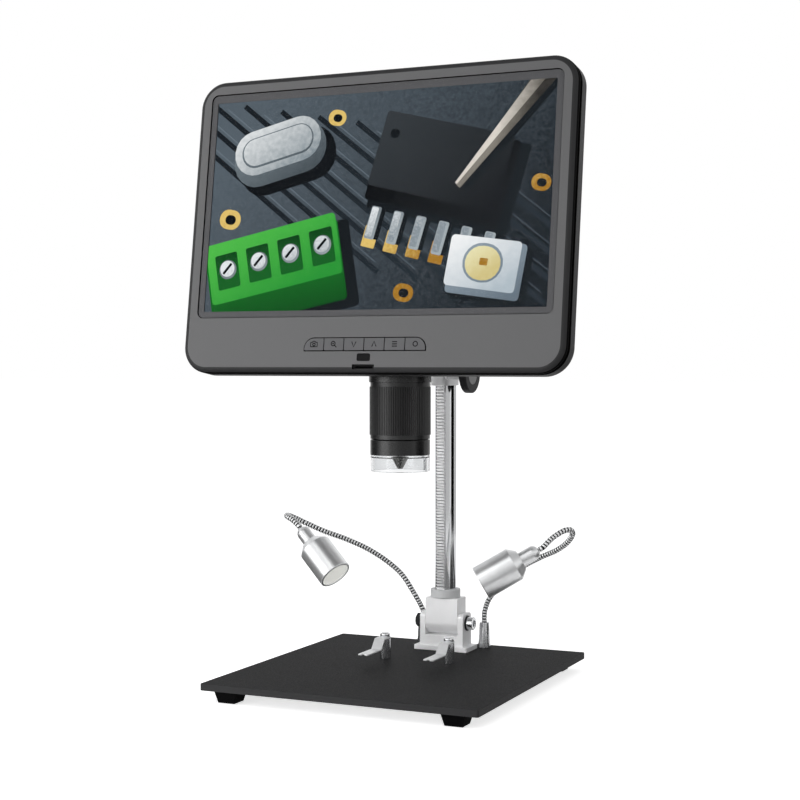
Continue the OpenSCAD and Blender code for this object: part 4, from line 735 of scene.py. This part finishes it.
LAYER, LOWEST, UNDER_BORDER = 0.006, -2.45, 0.4
sheets = []
for number, (ink, centre, (width, height), corner, tilt, taper) in enumerate(PICTURE):
    top = LOWEST + (number + 1) * LAYER
    shape = slab("shape", width, height, corner, top - LAYER, top, centre, 5, tilt, taper)
    shape.data.materials.append(ink)
    if number:
        limit = slab("limit", PICTURE_W + 2 * UNDER_BORDER, PICTURE_H + 2 * UNDER_BORDER,
                     UNDER_BORDER, BELOW, ABOVE, segments=3)
        combine(shape, limit, "INTERSECT")
    sheets.append(shape)
bpy.ops.object.select_all(action="DESELECT")
for shape in sheets:
    shape.select_set(True)
bpy.context.view_layer.objects.active = sheets[0]
bpy.ops.object.join()
picture = lean_back(sheets[0])
picture.name = "picture"
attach(picture, "carriage")

# ---- Buttons ----
# Six keys moulded in the bezel's grey, in one row whose ends are rounded off, with their sides
# painted black as the shade of the gaps round them. Each has a printed sign: camera, magnifier,
# down, up, list and a ring.
INK_WIDTH, INK_RISE, CIRCLE_STEPS = 0.6, 0.03, 18
KEY_FACE_TILT = 0.6  # a face whose normal points less far up belongs to a key's sides


def circle(x, y, radius):
    """Points round a circle, closed."""
    angles = [2 * math.pi * i / CIRCLE_STEPS for i in range(CIRCLE_STEPS + 1)]
    return [(x + radius * math.cos(angle), y + radius * math.sin(angle)) for angle in angles]


# The strokes of each sign, in millimetres from the middle of its key
SIGNS = {
    1: [[(-2.2, -1.4), (2.2, -1.4), (2.2, 1.2), (1.1, 1.2), (0.7, 1.8), (-0.7, 1.8), (-1.1, 1.2),
         (-2.2, 1.2), (-2.2, -1.4)], circle(0, -0.1, 0.8)],
    2: [circle(-0.4, 0.4, 1.3), [(0.5, -0.6), (1.9, -1.9)], [(-1.0, 0.4), (0.2, 0.4)]],
    3: [[(-1.4, 1.5), (0, -1.7), (1.4, 1.5)]],
    4: [[(-1.4, -1.5), (0, 1.7), (1.4, -1.5)]],
    5: [[(-1.6, y), (1.6, y)] for y in (-1.3, 0, 1.3)],
    6: [circle(0, 0, 1.4)]}


def printed(strokes, centre, height):
    """Flat printed lines on a face at this height, in millimetres."""
    data = bpy.data.curves.new("sign", "CURVE")
    data.dimensions = "3D"
    data.bevel_depth = INK_WIDTH / 2 * MM
    data.bevel_resolution = 1
    data.use_fill_caps = True
    for stroke in strokes:
        spline = data.splines.new("POLY")
        spline.points.add(len(stroke) - 1)
        for point, (x, y) in zip(spline.points, stroke):
            point.co = (x * MM, y * MM, 0, 1)
    obj = bpy.data.objects.new("sign", data)
    bpy.context.collection.objects.link(obj)
    pick(obj)
    bpy.ops.object.convert(target="MESH")
    obj = bpy.context.object
    flat = Matrix.Diagonal((1, 1, INK_RISE / INK_WIDTH * 2, 1))
    obj.data.transform(Matrix.Translation((centre[0] * MM, centre[1] * MM, height * MM)) @ flat)
    return obj


key_grey = surface("grey_key_abs", "#58585a", 0.5, grain=0.5, depth=0.008, tone=0.01,
                   specular=0.25)
sign_ink = surface("dark_sign_ink", "#101011", 0.6, tone=0.02, specular=0.1)
for number in range(1, KEY_COUNT + 1):
    key = dressed("button_%d" % number, key_grey, width=0.12)
    # Painted shade: the key's sides are painted black.
    paint(key, painted_recess_shade, lambda middle, normal: normal.z < KEY_FACE_TILT, head)
    key_x = (number - (KEY_COUNT + 1) / 2) * KEY_PITCH
    sign = lean_back(printed(SIGNS[number], (key_x, KEY_ROW_Y), KEY_PROUD))
    sign.data.materials.append(sign_ink)
    pick(key)
    sign.select_set(True)
    bpy.ops.object.join()

# ---- Infrared window and card slot ----
# A dark polycarbonate window for a remote control, and under it the mouth of the memory card
# socket in the bezel's lower edge.
dark_window = surface("dark_polycarbonate", "#0b0b0c", 0.5, tone=0.02, specular=0.1)
dressed("ir_window", dark_window, width=0.25)
dressed("card_slot", dark_window, width=0.1)

# ---- Circuit boards ----
# Glass-fibre boards under green solder mask, a lacquer with a soft gloss: the main board behind
# the panel, the keys' board behind them, and the sensor's board on the barrel.
solder_mask = surface("green_solder_mask", "#1d5a35", 0.35, tone=0.15, patch=5)
for board in ("main_board", "key_board", "sensor_board"):
    dressed(board, solder_mask, width=0.0)

# ---- Camera housing ----
# Black ABS box behind the display, moulded like the shell and holding the barrel's top. It is
# screwed to the carriage's arm through a steel plate.
dressed("camera_housing", shell_black, width=0.8, segments=3)
dressed("mount_plate", zinc, width=0.2)

# ---- Barrel ----
# Turned aluminium, anodised black: a fixed tube with a smooth neck, a focus ring with fine ribs,
# the lens cell inside it and a smooth lower ring. The anodised skin takes a soft sheen in bands.
anodised = surface("black_anodised_aluminium", "#0a0a0b", 0.28, grain=0.5, depth=0.003, tone=0.05,
                   patch=10, specular=0.55)
ribbed = surface("black_ribbed_aluminium", "#0f0f10", 0.32, grain=0.5, depth=0.003, tone=0.05,
                 patch=10, specular=0.55)
steel_nose = surface("blued_steel_nose", "#868684", 0.28, metallic=1.0, tone=0.04, patch=4)
dressed("barrel_tube", anodised, width=0.25)
dressed("focus_ring", ribbed, width=0.0)
dressed("lens_cell", steel_nose, width=0.15)
dressed("lower_ring", anodised, width=0.4, segments=3)
dressed("led_ring", surface("white_light_board", "#e8eae6", 0.4, tone=0.02), width=0.1)

# The cap is moulded in clear acrylic, thick enough to bend what is seen through it.
clear_acrylic, tree = empty_material("clear_acrylic")
shader = add(tree, "BsdfPrincipled", {"Base Color": linear("#e4e5e6"), "Roughness": 0.04,
                                      "Transmission Weight": 1.0, "IOR": 1.3})
add(tree, "OutputMaterial", {"Surface": shader.outputs[0]})
dressed("clear_cap", clear_acrylic, width=0.4, segments=3)
dressed("lens_elements", clear_acrylic, width=0.0)

# ---- Lamp sockets and goosenecks ----
# Turned sockets screwed into the plate, each with a flexible neck: a strip of bright steel wound
# into a tube, whose turns show as close rings. The grooves between the turns are painted black as
# shade.
dressed("lamp_sockets", nickel, width=0.3)
wound_steel = surface("wound_bright_steel", "#f6f7f8", 0.24, metallic=0.65, tone=0.03)
painted_groove_shade = surface("painted_shade_in_wound_groove", "#0e0e0f", 0.6, tone=0.03, specular=0.1)
RING_PITCH, CREST, GROOVE = 2.0, 2.0, 1.55
RING_POINTS, GROOVE_POINTS, RING_SMOOTH = 7, (2, 3, 4), math.radians(60)

# For each side: the middle of the lamp's front, the turns of the lamp's axis about Y and Z in
# degrees, and the places that the neck passes on its way from the socket. It reaches the lamp
# along that axis, through the points at these two distances behind the front.
NECK_ENDS = (44.8, 41.8)
ROUTES = {
    "left": ((-51.5, 11, 64), 48, 164, [
        (-22, 84, 23.1), (-22, 84, 28), (-22, 84, 32), (-24, 84, 36.5), (-28.5, 83.5, 44),
        (-36, 80.5, 56.5), (-44.8, 75, 66), (-55.6, 67.3, 74.7), (-67.4, 58.2, 81.7),
        (-79.1, 49, 87.4), (-88.5, 41.5, 93), (-93.8, 37, 96.4), (-96.3, 32.5, 98.4),
        (-95.8, 27.5, 99), (-92.6, 24, 98.4), (-88.5, 21.9, 97)]),
    "right": ((44, 21, 63), 60, 25, [
        (22, 84, 23.1), (22, 84, 28), (22, 84, 33), (23, 84, 38), (26, 84, 44.5),
        (35.2, 82, 54.9), (49.2, 78.3, 65.8), (64.6, 73, 74.2), (77, 68.3, 79.8),
        (85.6, 63.8, 85.5), (91, 58.8, 91.6), (91.6, 53.8, 94.9), (89, 49.2, 95),
        (85, 44.6, 92.3), (82, 41, 89.3)])}


def smooth_route(points, step):
    """Points about a step apart along a smooth curve through the given ones, in millimetres."""
    fine = []
    for i in range(len(points) - 1):
        a, b, c = points[max(i - 1, 0)], points[i], points[i + 1]
        d = points[min(i + 2, len(points) - 1)]
        square, cube = 2 * a - 5 * b + 4 * c - d, 3 * (b - c) + d - a
        parts = max(round((c - b).length / step), 1)
        for k in range(parts):
            t = k / parts
            fine.append(b + 0.5 * t * ((c - a) + t * (square + t * cube)))
    return fine + [points[-1]]


for side, (front, turn_y, turn_z, bends) in ROUTES.items():
    about_y, about_z = math.radians(turn_y), math.radians(turn_z)
    axis = Vector((math.sin(about_y) * math.cos(about_z), math.sin(about_y) * math.sin(about_z),
                   math.cos(about_y)))
    knots = [Vector(place) for place in bends] + [Vector(front) + end * axis for end in NECK_ENDS]
    track = smooth_route(knots, RING_PITCH / RING_POINTS)
    data = bpy.data.curves.new("gooseneck_" + side, "CURVE")
    data.dimensions = "3D"
    data.bevel_depth = CREST * MM
    data.bevel_resolution = 4
    data.use_fill_caps = True
    data.twist_mode = "MINIMUM"
    spline = data.splines.new("POLY")
    spline.points.add(len(track) - 1)
    for i, point in enumerate(track):
        wave = 0.5 + 0.5 * math.cos(2 * math.pi * i / RING_POINTS)
        spline.points[i].co = (*(point * MM), 1)
        spline.points[i].radius = (GROOVE + (CREST - GROOVE) * wave) / CREST
    neck = bpy.data.objects.new("gooseneck_%s_piece" % side, data)
    bpy.context.collection.objects.link(neck)
    pick(neck)
    bpy.ops.object.convert(target="MESH")
    neck = bpy.context.object
    bpy.ops.object.shade_smooth_by_angle(angle=RING_SMOOTH)
    seat(neck, "gooseneck_" + side, wound_steel)
    bands = KDTree(len(track))
    for i in range(len(track) - 1):
        bands.insert((track[i] + track[i + 1]) / 2 * MM, i)
    bands.balance()
    # Painted shade in the grooves between the turns.
    paint(neck, painted_groove_shade,
          lambda middle, normal: bands.find(middle * MM)[1] % RING_POINTS in GROOVE_POINTS)

# ---- Lamp heads ----
# Turned aluminium: a neck with a round end, a shell with the reflector inside, a frosted window
# in front that glows a little, and the light itself on its slug.
turned = surface("turned_aluminium", "#eff0f1", 0.33, metallic=0.85, grain=0.2, depth=0.002,
                 tone=0.04, patch=5)
lamp_window = clear("frosted_lamp_window", "#dededa", 0.62, 0.25, glow=0.55)
light_slug = surface("light_slug", "#f0e8c0", 0.4, tone=0.02)
for side in ("left", "right"):
    dressed("lamp_neck_" + side, turned, width=0.2)
    dressed("lamp_shell_" + side, turned, width=0.25)
    dressed("lamp_lens_" + side, lamp_window, width=0.1)
    dressed("lamp_led_" + side, light_slug, width=0.0)
